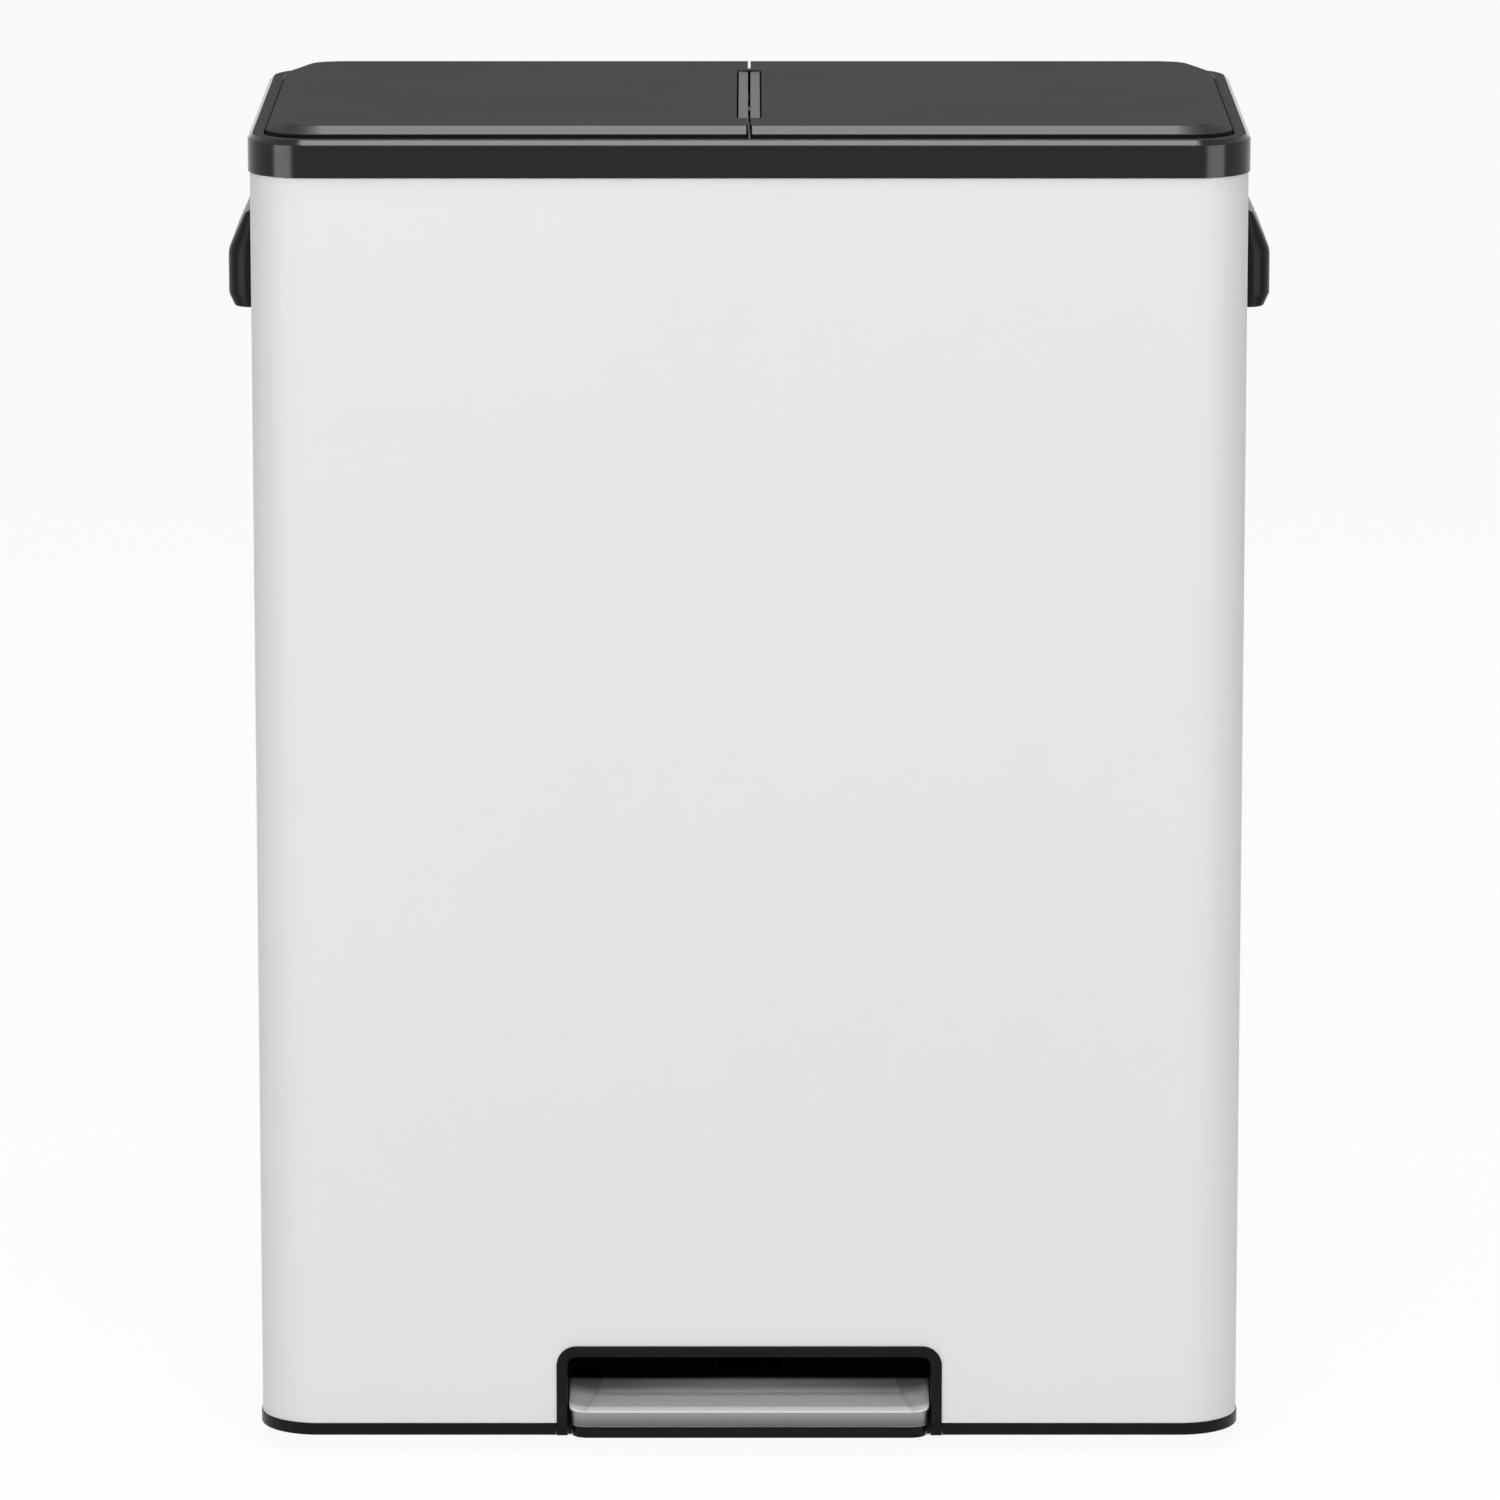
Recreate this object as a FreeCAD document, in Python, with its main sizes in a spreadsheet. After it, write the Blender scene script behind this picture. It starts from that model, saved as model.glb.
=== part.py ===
import FreeCAD, Part
import math
import os
import re
import Sketcher

# Double recycling bin: a white steel casing under a black rim with two lids,
# two lift-out buckets, and a pedal whose lever raises both lids through two rods.
# Millimetres. X is to the right, Y to the back, Z up; the floor is Z = 0.

DRIVING_SIZES = [
    # The casing, seen from outside.
    ("rim_width", 490.0, "overall width of the rim"),
    ("rim_depth", 275.0, "overall depth of the rim"),
    ("overall_height", 665.0, "floor to the top of the closed lids"),
    ("corner_radius", 30.0, "upright corners of the rim in plan"),
    ("foot_height", 9.0, "gap between the floor and the base"),
    ("band_height", 6.2, "visible height of the base band"),
    ("band_overhang", 0.6, "how far the base band stands out from the sheet"),
    ("rim_overhang", 0.9, "how far the rim stands out from the sheet"),
    ("shell_wall", 0.9, "thickness of the casing sheet"),
    # The base tray.
    ("tray_floor", 2.5, "thickness of the tray's floor"),
    ("tray_wall", 2.5, "thickness of the wall inside the sheet"),
    ("tray_wall_height", 22.0, "height of that wall above the band"),
    ("seat_gap", 0.2, "clearance between a moulding and the sheet round it"),
    ("foot_radius", 12.0, "rubber foot"),
    ("foot_stem_radius", 4.0, "stem of a foot, through the tray's floor"),
    ("foot_head_radius", 5.5, "head that holds a foot to the tray's floor"),
    ("foot_head_height", 2.0, "height of that head"),
    ("foot_inset_side", 45.0, "side of the rim to the middle of a foot"),
    ("foot_inset_end", 45.0, "front or back of the rim to the middle of a foot"),
    # The top rim.
    ("rim_height", 18.5, "height of the rim's outer face"),
    ("rim_band", 8.0, "width of the rim's top band round the lids"),
    ("rim_edge", 1.4, "rounding of the rim's top outer edge"),
    ("rim_lip_edge", 0.6, "rounding of the rim's top inner edge"),
    ("well_depth", 14.0, "depth of the lids' well below the rim's top"),
    ("ledge_thick", 2.5, "thickness of the ledge that carries the buckets"),
    ("ledge_width", 11.0, "ledge between the well's wall and a bucket"),
    ("rear_shelf", 38.0, "width of the ledge behind the buckets"),
    ("bridge_width", 10.0, "bar between the two bucket holes"),
    ("hole_radius", 18.0, "upright corners of a bucket hole"),
    ("tongue_height", 13.0, "rim tongue inside the sheet"),
    ("tongue_thick", 2.2, "thickness of that tongue"),
    # The lids.
    ("lid_rise", 5.0, "closed lid above the rim's top"),
    ("lid_gap", 1.0, "gap round the lids"),
    ("lid_split", 1.3, "gap between the two lids"),
    ("lid_back_corner", 5.0, "extra rounding of a lid's back corner, which swings past the rim"),
    ("lid_bevel", 11.0, "width of the bevel on a lid's front and side"),
    ("lid_back_bevel", 3.5, "width of the bevel on a lid's back"),
    ("lid_bevel_drop", 3.2, "height of the bevels"),
    ("lid_skirt", 13.0, "lid's top to the bottom of its skirt"),
    ("lid_wall", 1.6, "thickness of a lid's cover"),
    ("liner_thick", 2.0, "thickness of the panel under a cover"),
    ("grip_width", 4.6, "finger step along a lid's inner edge"),
    ("grip_depth", 0.8, "depth of that step"),
    ("grip_start", 46.0, "rim's front to the front end of the step"),
    ("grip_length", 180.0, "length of the step"),
    ("lid_open_angle", 70.0, "opening angle of the lids"),
    # The lid hinges.
    ("hinge_inset", 6.0, "lid's back and top to the hinge axis"),
    ("pin_radius", 1.5, "hinge pin"),
    ("pin_clearance", 0.1, "play round a pin or an axle that turns"),
    ("fixed_clearance", 0.05, "play round a pin or an axle that stays still"),
    ("knuckle_radius", 3.5, "lugs of the rim and knuckles of a lid"),
    ("lug_width", 6.0, "width of a lug"),
    ("knuckle_width", 14.0, "width of a knuckle"),
    ("knuckle_gap", 1.0, "side play between a lug and a knuckle"),
    ("inner_lug_x", 24.0, "middle of the bin to the inner lugs"),
    ("outer_lug_x", 214.0, "middle of the bin to the outer lugs"),
    # The buckets.
    ("bucket_gap", 1.0, "clearance between a bucket and its hole"),
    ("bucket_wall", 2.0, "thickness of a bucket"),
    ("bucket_taper", 8.0, "how far each bucket wall leans in"),
    ("bucket_bottom", 58.0, "floor to the underside of a bucket"),
    ("flange_lap", 3.0, "bucket flange resting on the ledge"),
    ("flange_thick", 3.0, "thickness of the bucket flange"),
    # The pedal recess.
    ("frame_width", 192.2, "outside width of the black frame"),
    ("frame_height", 45.8, "top of the frame above the base"),
    ("frame_radius", 10.0, "outside corners of the frame"),
    ("frame_border", 5.5, "visible width of the frame"),
    ("frame_lap", 2.5, "how far the frame covers the sheet's cut edge"),
    ("recess_depth", 75.0, "depth of the recess behind the rim's front"),
    ("recess_wall", 2.2, "thickness of the recess's walls"),
    ("flange_width", 13.0, "screw flange beside the recess"),
    ("flange_length", 40.0, "length of that flange"),
    ("flange_screw_inset", 8.0, "end of the flange to a screw"),
    ("flange_screw_reach", 7.5, "recess's side to the flange's screws"),
    ("lever_slot_half", 16.0, "half the width of the lever's slot"),
    ("lever_slot_top", 24.0, "top of that slot above the base"),
    ("axle_radius", 3.0, "pedal axle"),
    ("axle_boss_radius", 6.5, "boss round an axle's end"),
    ("axle_boss_length", 4.0, "length of that boss"),
    # The pedal.
    ("pedal_proud", 5.0, "pedal's lip in front of the rim"),
    ("pedal_side_gap", 0.7, "gap between the pedal and the recess"),
    ("pedal_bottom", 8.7, "floor to the pedal's underside"),
    ("lip_bottom", 14.7, "floor to the bottom of the steel lip"),
    ("lip_top", 22.6, "floor to the tread's flat panel"),
    ("tread_depth", 50.0, "front to back of the steel tread"),
    ("tread_skin", 1.2, "thickness of the steel tread"),
    ("tread_corner", 9.0, "front corners of the tread in plan"),
    ("dish_rise", 3.8, "tread's raised border above its panel at the back"),
    ("dish_front_rise", 0.8, "the same border above the panel at the lip"),
    ("dish_depth", 36.0, "flat panel, front to back"),
    ("dish_front_half", 82.1, "half the panel's width at the front"),
    ("dish_back_half", 76.5, "half the panel's width at the back"),
    ("dish_back_slope", 10.5, "width of the slope behind the panel"),
    ("tread_edge", 1.2, "flat top of the raised border"),
    ("axle_setback", 60.0, "pedal's lip to the axle"),
    ("axle_height", 22.0, "floor to the axle"),
    ("pedal_angle", 7.5, "how far the pedal turns"),
    ("rib_thick", 4.4, "rib between the pedal's hollow cells"),
    # The lever and the rods.
    ("lever_width", 25.0, "flat bar under the buckets"),
    ("lever_thick", 5.0, "thickness of that bar"),
    ("lever_gap", 0.5, "top of the bar above the crossbar's lowest line"),
    ("lever_setback", 22.0, "pedal's lip to the front of the bar"),
    ("lever_screw_inset", 5.0, "front of the bar to its first screw"),
    ("lever_screw_pitch", 11.0, "distance between its screws"),
    ("crossbar_radius", 4.0, "crossbar that lifts the rods"),
    ("crossbar_half", 72.0, "half the crossbar's length"),
    ("rod_spread", 60.0, "middle of the bin to a rod"),
    ("rod_setback", 19.0, "hinge axis to the rods"),
    ("rod_radius", 3.0, "push rod"),
    ("rod_play", 0.3, "play of a rod in its bush"),
    ("foot_pad_radius", 8.0, "pad at a rod's lower end"),
    ("foot_pad_height", 5.0, "height of that pad"),
    ("cap_size", 14.0, "square cap at a rod's upper end"),
    ("cap_height", 8.0, "height of that cap"),
    ("rod_gap", 0.35, "rest gap between the crossbar and a pad"),
    ("tab_gap", 0.65, "rest gap between a cap and a lid's tab"),
    ("tab_width", 10.0, "lid tab that a rod pushes"),
    ("tab_nose", 3.0, "rounded end of that tab"),
    ("slot_gap", 1.5, "clearance round a cap in the rim's slot"),
    # The rod guides.
    ("lower_guide_rise", 164.8, "base band's top to the lower guides"),
    ("upper_guide_drop", 41.5, "rim's bottom to the upper guides"),
    ("guide_sheet", 1.5, "thickness of a guide bracket"),
    ("guide_width", 26.0, "width of a guide bracket"),
    ("guide_plate_height", 24.0, "bracket's plate on the back of the casing"),
    ("bush_wall", 1.2, "thickness of a guide bush"),
    ("bush_rim", 2.2, "how far a bush's rim stands out"),
    ("guide_margin", 1.0, "bracket beyond a bush's rim"),
    # The side handles.
    ("handle_proud", 14.5, "handle's face in front of the sheet"),
    ("handle_length", 104.0, "handle, front to back"),
    ("handle_drop", 26.5, "rim's bottom to the handle's upper edge"),
    ("handle_height", 50.0, "height of the handle"),
    ("handle_shoulder", 22.0, "height of the handle's sloped top"),
    ("handle_chin", 6.0, "height of the chamfer at its lower edge"),
    ("handle_wall", 2.8, "thickness of the handle"),
    ("handle_end", 14.0, "solid end that takes a screw"),
    ("handle_screw_rise", 18.0, "handle's lower edge to its screws"),
    ("handle_round", 11.0, "rounding of the handle's ends in plan"),
    # The fasteners.
    ("screw_radius", 2.0, "shank of a screw"),
    ("screw_head_radius", 3.8, "head of a screw"),
    ("screw_head_height", 2.0, "height of a screw's head"),
    ("tip_gap", 0.5, "end of a screw to the end of its hole"),
    ("handle_screw_reach", 8.0, "handle screw inside the handle"),
    ("lever_screw_reach", 3.0, "lever screw inside the pedal"),
    ("bumper_radius", 3.4, "rubber bumper under a lid"),
    ("bumper_gap", 0.3, "gap between a bumper and a closed lid"),
    ("bumper_near_x", 16.0, "middle of the bin to the inner bumpers"),
    ("bumper_far_x", 190.0, "middle of the bin to the outer bumpers"),
]

DERIVED_SIZES = [
    ("rim_half", "=rim_width / 2"),
    ("rim_front", "=pedal_proud / 2 - rim_depth / 2"),
    ("rim_back", "=pedal_proud / 2 + rim_depth / 2"),
    ("middle_y", "=pedal_proud / 2"),
    ("band_top", "=foot_height + band_height"),
    ("floor_top", "=foot_height + tray_floor"),
    ("rim_top", "=overall_height - lid_rise"),
    ("rim_bottom", "=rim_top - rim_height"),
    ("ledge_top", "=rim_top - well_depth"),
    ("shell_half", "=rim_half - rim_overhang"),
    ("shell_front", "=rim_front + rim_overhang"),
    ("shell_back", "=rim_back - rim_overhang"),
    ("shell_radius", "=corner_radius - rim_overhang"),
    ("band_inset", "=rim_overhang - band_overhang"),
    ("fit_inset", "=rim_overhang + shell_wall + seat_gap"),
    ("tray_inset", "=fit_inset + tray_wall"),
    ("tray_wall_top", "=band_top + tray_wall_height"),
    ("tongue_inset", "=fit_inset + tongue_thick"),
    ("hole_front", "=rim_front + rim_band + ledge_width"),
    ("hole_back", "=rim_back - rim_band - rear_shelf"),
    ("hole_outer", "=rim_half - rim_band - ledge_width"),
    ("hole_inner", "=bridge_width / 2"),
    ("lid_inset", "=rim_band + lid_gap"),
    ("lid_radius", "=corner_radius - lid_inset"),
    ("lid_top_radius", "=max(lid_radius - lid_bevel, 2)"),
    ("lid_back_radius", "=lid_radius + lid_back_corner"),
    ("lid_top_back_radius", "=lid_top_radius + lid_back_corner"),
    ("lid_half", "=rim_half - lid_inset"),
    ("lid_front", "=rim_front + lid_inset"),
    ("lid_back", "=rim_back - lid_inset"),
    ("bevel_bottom", "=overall_height - lid_bevel_drop"),
    ("skirt_bottom", "=overall_height - lid_skirt"),
    ("cover_under", "=overall_height - lid_wall"),
    ("liner_under", "=cover_under - liner_thick"),
    ("hinge_y", "=lid_back - hinge_inset"),
    ("hinge_z", "=overall_height - hinge_inset"),
    ("pedal_front", "=rim_front - pedal_proud"),
    ("axle_y", "=pedal_front + axle_setback"),
    ("rod_y", "=hinge_y - rod_setback"),
    ("rod_lift", "=(rod_y - axle_y) * sin(pedal_angle)"),
    ("tab_reach", "=rod_lift / (2 * sin(lid_open_angle / 2))"),
    ("nose_y", "=hinge_y - tab_reach * cos(lid_open_angle / 2)"),
    ("nose_z", "=hinge_z - tab_reach * sin(lid_open_angle / 2)"),
    ("cap_top", "=nose_z - tab_nose - tab_gap"),
    ("pad_bottom", "=axle_height + crossbar_radius + rod_gap"),
    ("bush_radius", "=rod_radius + rod_play + bush_wall"),
    ("lower_guide", "=band_top + lower_guide_rise"),
    ("upper_guide", "=rim_bottom - upper_guide_drop"),
    ("frame_half", "=frame_width / 2"),
    ("frame_top", "=foot_height + frame_height"),
    ("opening_half", "=frame_half - frame_border"),
    ("opening_top", "=frame_top - frame_border"),
    ("opening_radius", "=max(frame_radius - frame_border, 1)"),
    ("recess_half", "=opening_half + recess_wall"),
    ("recess_top", "=opening_top + recess_wall"),
    ("recess_back", "=rim_front + recess_depth"),
    ("flange_front", "=recess_back - flange_length"),
    ("tread_half", "=opening_half - pedal_side_gap"),
    ("tread_back", "=pedal_front + tread_depth"),
    ("tread_top", "=lip_top + dish_rise"),
    ("block_half", "=tread_half - tread_skin - seat_gap"),
    ("block_front", "=pedal_front + tread_skin + seat_gap"),
    ("block_back", "=tread_back - tread_skin - seat_gap"),
    ("rib_pitch", "=block_half / 3.5"),
    ("lever_top", "=axle_height - crossbar_radius + lever_gap"),
    ("lever_bottom", "=lever_top - lever_thick"),
    ("lever_front", "=pedal_front + lever_setback"),
    ("handle_screw_y", "=handle_length / 2 - handle_end / 2"),
    ("handle_top", "=rim_bottom - handle_drop"),
    ("handle_bottom", "=handle_top - handle_height"),
    ("handle_screw_z", "=handle_bottom + handle_screw_rise"),
    ("bumper_y", "=rim_front + rim_band + bumper_radius + bumper_gap"),
    ("bumper_top", "=skirt_bottom - bumper_gap"),
]

ALIASES = {row[0] for row in DRIVING_SIZES + DERIVED_SIZES}
TINY = 0.001

doc = FreeCAD.newDocument("double_recycling_bin")
sizes = doc.addObject("Spreadsheet::Sheet", "Sizes")
parts = []


# ---------------------------------------------------------------- the size sheet

def fill_sheet():
    """Column A names a size, column B holds it, column C says what it is."""
    for row, (alias, value, meaning) in enumerate(DRIVING_SIZES, start=1):
        sizes.set("A%d" % row, alias)
        sizes.set("B%d" % row, str(value))
        sizes.set("C%d" % row, meaning)
        sizes.setAlias("B%d" % row, alias)
    for row, (alias, formula) in enumerate(DERIVED_SIZES, start=len(DRIVING_SIZES) + 1):
        sizes.set("A%d" % row, alias)
        sizes.set("B%d" % row, formula)
        sizes.setAlias("B%d" % row, alias)
    doc.recompute()


def sized(text):
    """The expression with every size's name pointing at its cell."""
    return re.sub(r"[a-z][a-z_]+", lambda word: "Sizes." + word.group()
                  if word.group() in ALIASES else word.group(), text)


def value(text):
    """What an expression comes to."""
    return float(sizes.evalExpression(sized(text)))


# ------------------------------------------------------------- sketches, features

def new_body(label):
    body = doc.addObject("PartDesign::Body", label)
    body.Label = label
    parts.append(body)
    return body


def new_sketch(body, role, at):
    """A sketch on the body's XY, XZ or YZ plane, moved to `at` along that axis."""
    sketch = body.newObject("Sketcher::SketchObject", body.Label + "_sketch")
    origin_plane = next(f for f in body.Origin.OriginFeatures if f.Role == role)
    sketch.AttachmentSupport = [(origin_plane, "")]
    sketch.MapMode = "FlatFace"
    offset = "-(%s)" % at if role == "XZ_Plane" else at
    sketch.setExpression("AttachmentOffset.Base.z", sized(offset))
    return sketch


def pin_point(sketch, line, end, across=None, up=None):
    """Bind one end of a line to its distances from the origin."""
    for kind, text in (("DistanceX", across), ("DistanceY", up)):
        if text is None:
            continue
        row = sketch.addConstraint(Sketcher.Constraint(kind, -1, 1, line, end, value(text)))
        sketch.setExpression("Constraints[%d]" % row, sized(text))


def polygon(body, role, at, corners):
    """A closed outline of straight lines, every corner bound to two sizes."""
    sketch = new_sketch(body, role, at)
    points = [FreeCAD.Vector(value(across), value(up), 0) for across, up in corners]
    for start, end in zip(points, points[1:] + points[:1]):
        sketch.addGeometry(Part.LineSegment(start, end), False)
    for line in range(len(points)):
        following = (line + 1) % len(points)
        sketch.addConstraint(Sketcher.Constraint("Coincident", line, 2, following, 1))
    for line, (across, up) in enumerate(corners):
        pin_point(sketch, line, 1, across, up)
    return sketch


def rectangle(body, role, at, left, right, low, high, radii=(None, None, None, None)):
    """A rectangle bound by its four sides. `radii` rounds the corners in turn from
    low left, anticlockwise; None leaves a corner square."""
    sketch = new_sketch(body, role, at)
    x0, x1, y0, y1 = value(left), value(right), value(low), value(high)
    corners = [FreeCAD.Vector(x0, y0, 0), FreeCAD.Vector(x1, y0, 0),
               FreeCAD.Vector(x1, y1, 0), FreeCAD.Vector(x0, y1, 0)]
    cuts = [0.0 if text is None else value(text) for text in radii]
    for index in range(4):
        following = (index + 1) % 4
        along = (corners[following] - corners[index]).normalize()
        sketch.addGeometry(Part.LineSegment(corners[index] + along * cuts[index],
                                            corners[following] - along * cuts[following]), False)
    for index, kind in enumerate(("Horizontal", "Vertical", "Horizontal", "Vertical")):
        sketch.addConstraint(Sketcher.Constraint(kind, index))
    pin_point(sketch, 0, 1, up=low)
    pin_point(sketch, 1, 1, across=right)
    pin_point(sketch, 2, 1, up=high)
    pin_point(sketch, 3, 1, across=left)
    for index, text in enumerate(radii):
        before = (index - 1) % 4
        if text is None:
            sketch.addConstraint(Sketcher.Constraint("Coincident", before, 2, index, 1))
            continue
        inward = (corners[(index + 1) % 4] - corners[index]).normalize() \
            + (corners[before] - corners[index]).normalize()
        centre = corners[index] + inward * cuts[index]
        circle = Part.Circle(centre, FreeCAD.Vector(0, 0, 1), cuts[index])
        start = math.pi * (1 + index / 2)
        arc = sketch.addGeometry(Part.ArcOfCircle(circle, start, start + math.pi / 2), False)
        sketch.addConstraint(Sketcher.Constraint("Tangent", before, 2, arc, 1))
        sketch.addConstraint(Sketcher.Constraint("Tangent", arc, 2, index, 1))
        row = sketch.addConstraint(Sketcher.Constraint("Radius", arc, cuts[index]))
        sketch.setExpression("Constraints[%d]" % row, sized(text))
    return sketch


def circles(body, role, at, centres, radius):
    """Equal circles, each centre bound to two sizes."""
    sketch = new_sketch(body, role, at)
    for across, up in centres:
        centre = FreeCAD.Vector(value(across), value(up), 0)
        ring = sketch.addGeometry(Part.Circle(centre, FreeCAD.Vector(0, 0, 1), value(radius)), False)
        pin_point(sketch, ring, 3, across, up)
        row = sketch.addConstraint(Sketcher.Constraint("Radius", ring, value(radius)))
        sketch.setExpression("Constraints[%d]" % row, sized(radius))
    return sketch


def grow(body, sketch, length, reverse=False, kind="Pad"):
    """Pad a sketch along its plane's normal, or cut against it; `reverse` turns either."""
    feature = body.newObject("PartDesign::" + kind, body.Label + "_" + kind.lower())
    feature.Profile = sketch
    feature.setExpression("Length", sized(length))
    feature.Reversed = reverse
    body.Tip = feature
    return feature


def cut(body, sketch, length, reverse=False):
    return grow(body, sketch, length, reverse, "Pocket")


def loft(body, low_sketch, high_sketch, kind="AdditiveLoft"):
    feature = body.newObject("PartDesign::" + kind, body.Label + "_loft")
    feature.Profile = low_sketch
    feature.Sections = [high_sketch]
    feature.Ruled = True
    body.Tip = feature
    return feature


def near(first, second):
    return abs(first - second) < TINY


def fillet(body, radius, wanted):
    """Round the edges of the body so far that `wanted` picks by their box."""
    doc.recompute()
    base = body.Tip
    names = ["Edge%d" % (index + 1) for index, edge in enumerate(base.Shape.Edges)
             if wanted(edge.BoundBox)]
    feature = body.newObject("PartDesign::Fillet", body.Label + "_fillet")
    feature.Base = (base, names)
    feature.setExpression("Radius", sized(radius))
    body.Tip = feature
    return feature


def inset_rectangle(body, at, inset, radius):
    """The casing's plan outline, drawn in from the rim's outline."""
    return rectangle(body, "XY_Plane", at, "-(rim_half - (%s))" % inset, "rim_half - (%s)" % inset,
                     "rim_front + (%s)" % inset, "rim_back - (%s)" % inset, (radius,) * 4)


# ------------------------------------------------------------- primitives, groups

TURNS = {"Z": FreeCAD.Rotation(), "X": FreeCAD.Rotation(FreeCAD.Vector(0, 1, 0), 90),
         "Y": FreeCAD.Rotation(FreeCAD.Vector(1, 0, 0), -90)}


def cylinder(name, axis, start, radius, length):
    """A round bar along an axis from its start point."""
    bar = doc.addObject("Part::Cylinder", name)
    bar.Placement = FreeCAD.Placement(FreeCAD.Vector(), TURNS[axis])
    bar.setExpression("Radius", sized(radius))
    bar.setExpression("Height", sized(length))
    for letter, text in zip("xyz", start):
        bar.setExpression("Placement.Base." + letter, sized(text))
    return bar


def block(name, x_range, y_range, z_range):
    """A box between two expressions along each axis."""
    box = doc.addObject("Part::Box", name)
    for side, letter, (low, high) in zip(("Length", "Width", "Height"), "xyz",
                                         (x_range, y_range, z_range)):
        box.setExpression(side, sized("(%s) - (%s)" % (high, low)))
        box.setExpression("Placement.Base." + letter, sized(low))
    return box


def fuse(name, shapes):
    union = doc.addObject("Part::MultiFuse", name)
    union.Shapes = shapes
    return union


def subtract(name, base, tool):
    difference = doc.addObject("Part::Cut", name)
    difference.Base = base
    difference.Tool = tool
    return difference


def named(label, shape):
    """Make a shape a sub-part of its own."""
    shape.Label = label
    parts.append(shape)
    return shape


def group(label, shapes):
    """Like pieces that share one node as separate solids."""
    compound = doc.addObject("Part::Compound", label)
    compound.Links = shapes
    return named(label, compound)


def mirror(label, source):
    """The same piece on the other side of the bin."""
    copy = doc.addObject("Part::Mirroring", label)
    copy.Source = source
    copy.Base = FreeCAD.Vector(0, 0, 0)
    copy.Normal = FreeCAD.Vector(1, 0, 0)
    return named(label, copy)


def screw(name, axis, head_start, shank_start, shank_length):
    """A pan-head screw: a low round head on a plain shank."""
    head = cylinder(name + "_head", axis, head_start, "screw_head_radius", "screw_head_height")
    shank = cylinder(name + "_shank", axis, shank_start, "screw_radius", shank_length)
    return fuse(name, [head, shank])


# -------------------------------------------------------------------- the casing

def make_body_shell():
    """A folded sheet with four round corners, cut out at the front for the pedal."""
    shell = new_body("body_shell")
    height = "rim_bottom - band_top"
    grow(shell, inset_rectangle(shell, "band_top", "rim_overhang", "shell_radius"), height)
    bore = inset_rectangle(shell, "rim_bottom", "rim_overhang + shell_wall", "shell_radius - shell_wall")
    cut(shell, bore, height)
    corner = "frame_radius - frame_lap"
    mouth = rectangle(shell, "XZ_Plane", "rim_front", "-(frame_half - frame_lap)", "frame_half - frame_lap",
                      "foot_height - frame_radius", "frame_top - frame_lap", (None, None, corner, corner))
    cut(shell, mouth, "rim_overhang + shell_wall + 1")
    holes = [("middle_y - handle_screw_y", "handle_screw_z"), ("middle_y + handle_screw_y", "handle_screw_z")]
    for side, reverse in (("rim_half", False), ("-rim_half", True)):
        sketch = circles(shell, "YZ_Plane", side, holes, "screw_radius + fixed_clearance")
        cut(shell, sketch, "rim_overhang + shell_wall + 1", reverse)


def foot_places():
    side, front, back = "(rim_half - foot_inset_side)", "rim_front + foot_inset_end", "rim_back - foot_inset_end"
    return [(sign + side, end) for sign in ("-", "") for end in (front, back)]


def flange_screw_places():
    ends = ("flange_front + flange_screw_inset", "recess_back - flange_screw_inset")
    return [(sign + "(recess_half + flange_screw_reach)", end) for sign in ("-", "") for end in ends]


def make_base_tray():
    """The band under the sheet, a floor, and a wall that stands inside the sheet."""
    tray = new_body("base_tray")
    grow(tray, inset_rectangle(tray, "foot_height", "band_inset", "corner_radius - band_inset"), "band_height")
    grow(tray, inset_rectangle(tray, "band_top", "fit_inset", "corner_radius - fit_inset"), "tray_wall_height")
    inside = inset_rectangle(tray, "tray_wall_top", "tray_inset", "corner_radius - tray_inset")
    cut(tray, inside, "tray_wall_top - floor_top")
    mouth = rectangle(tray, "XY_Plane", "tray_wall_top", "-(frame_half + seat_gap)", "frame_half + seat_gap",
                      "rim_front - 1", "recess_back + seat_gap")
    cut(tray, mouth, "tray_wall_top - foot_height + 1")
    for centres, radius in ((foot_places(), "foot_stem_radius + fixed_clearance"),
                            (flange_screw_places(), "screw_radius + fixed_clearance")):
        cut(tray, circles(tray, "XY_Plane", "floor_top", centres, radius), "tray_floor + 1")


def make_rubber_feet():
    """A disc on the floor, a stem through the tray and a head that holds it there."""
    feet = []
    for number, (across, end) in enumerate(foot_places(), start=1):
        name = "foot_%d" % number
        disc = cylinder(name + "_disc", "Z", (across, end, "0"), "foot_radius", "foot_height")
        stem = cylinder(name + "_stem", "Z", (across, end, "foot_height"), "foot_stem_radius",
                        "tray_floor + fixed_clearance")
        head = cylinder(name + "_head", "Z", (across, end, "floor_top + fixed_clearance"),
                        "foot_head_radius", "foot_head_height")
        feet.append(fuse(name, [disc, stem, head]))
    group("rubber_feet", feet)


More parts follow.
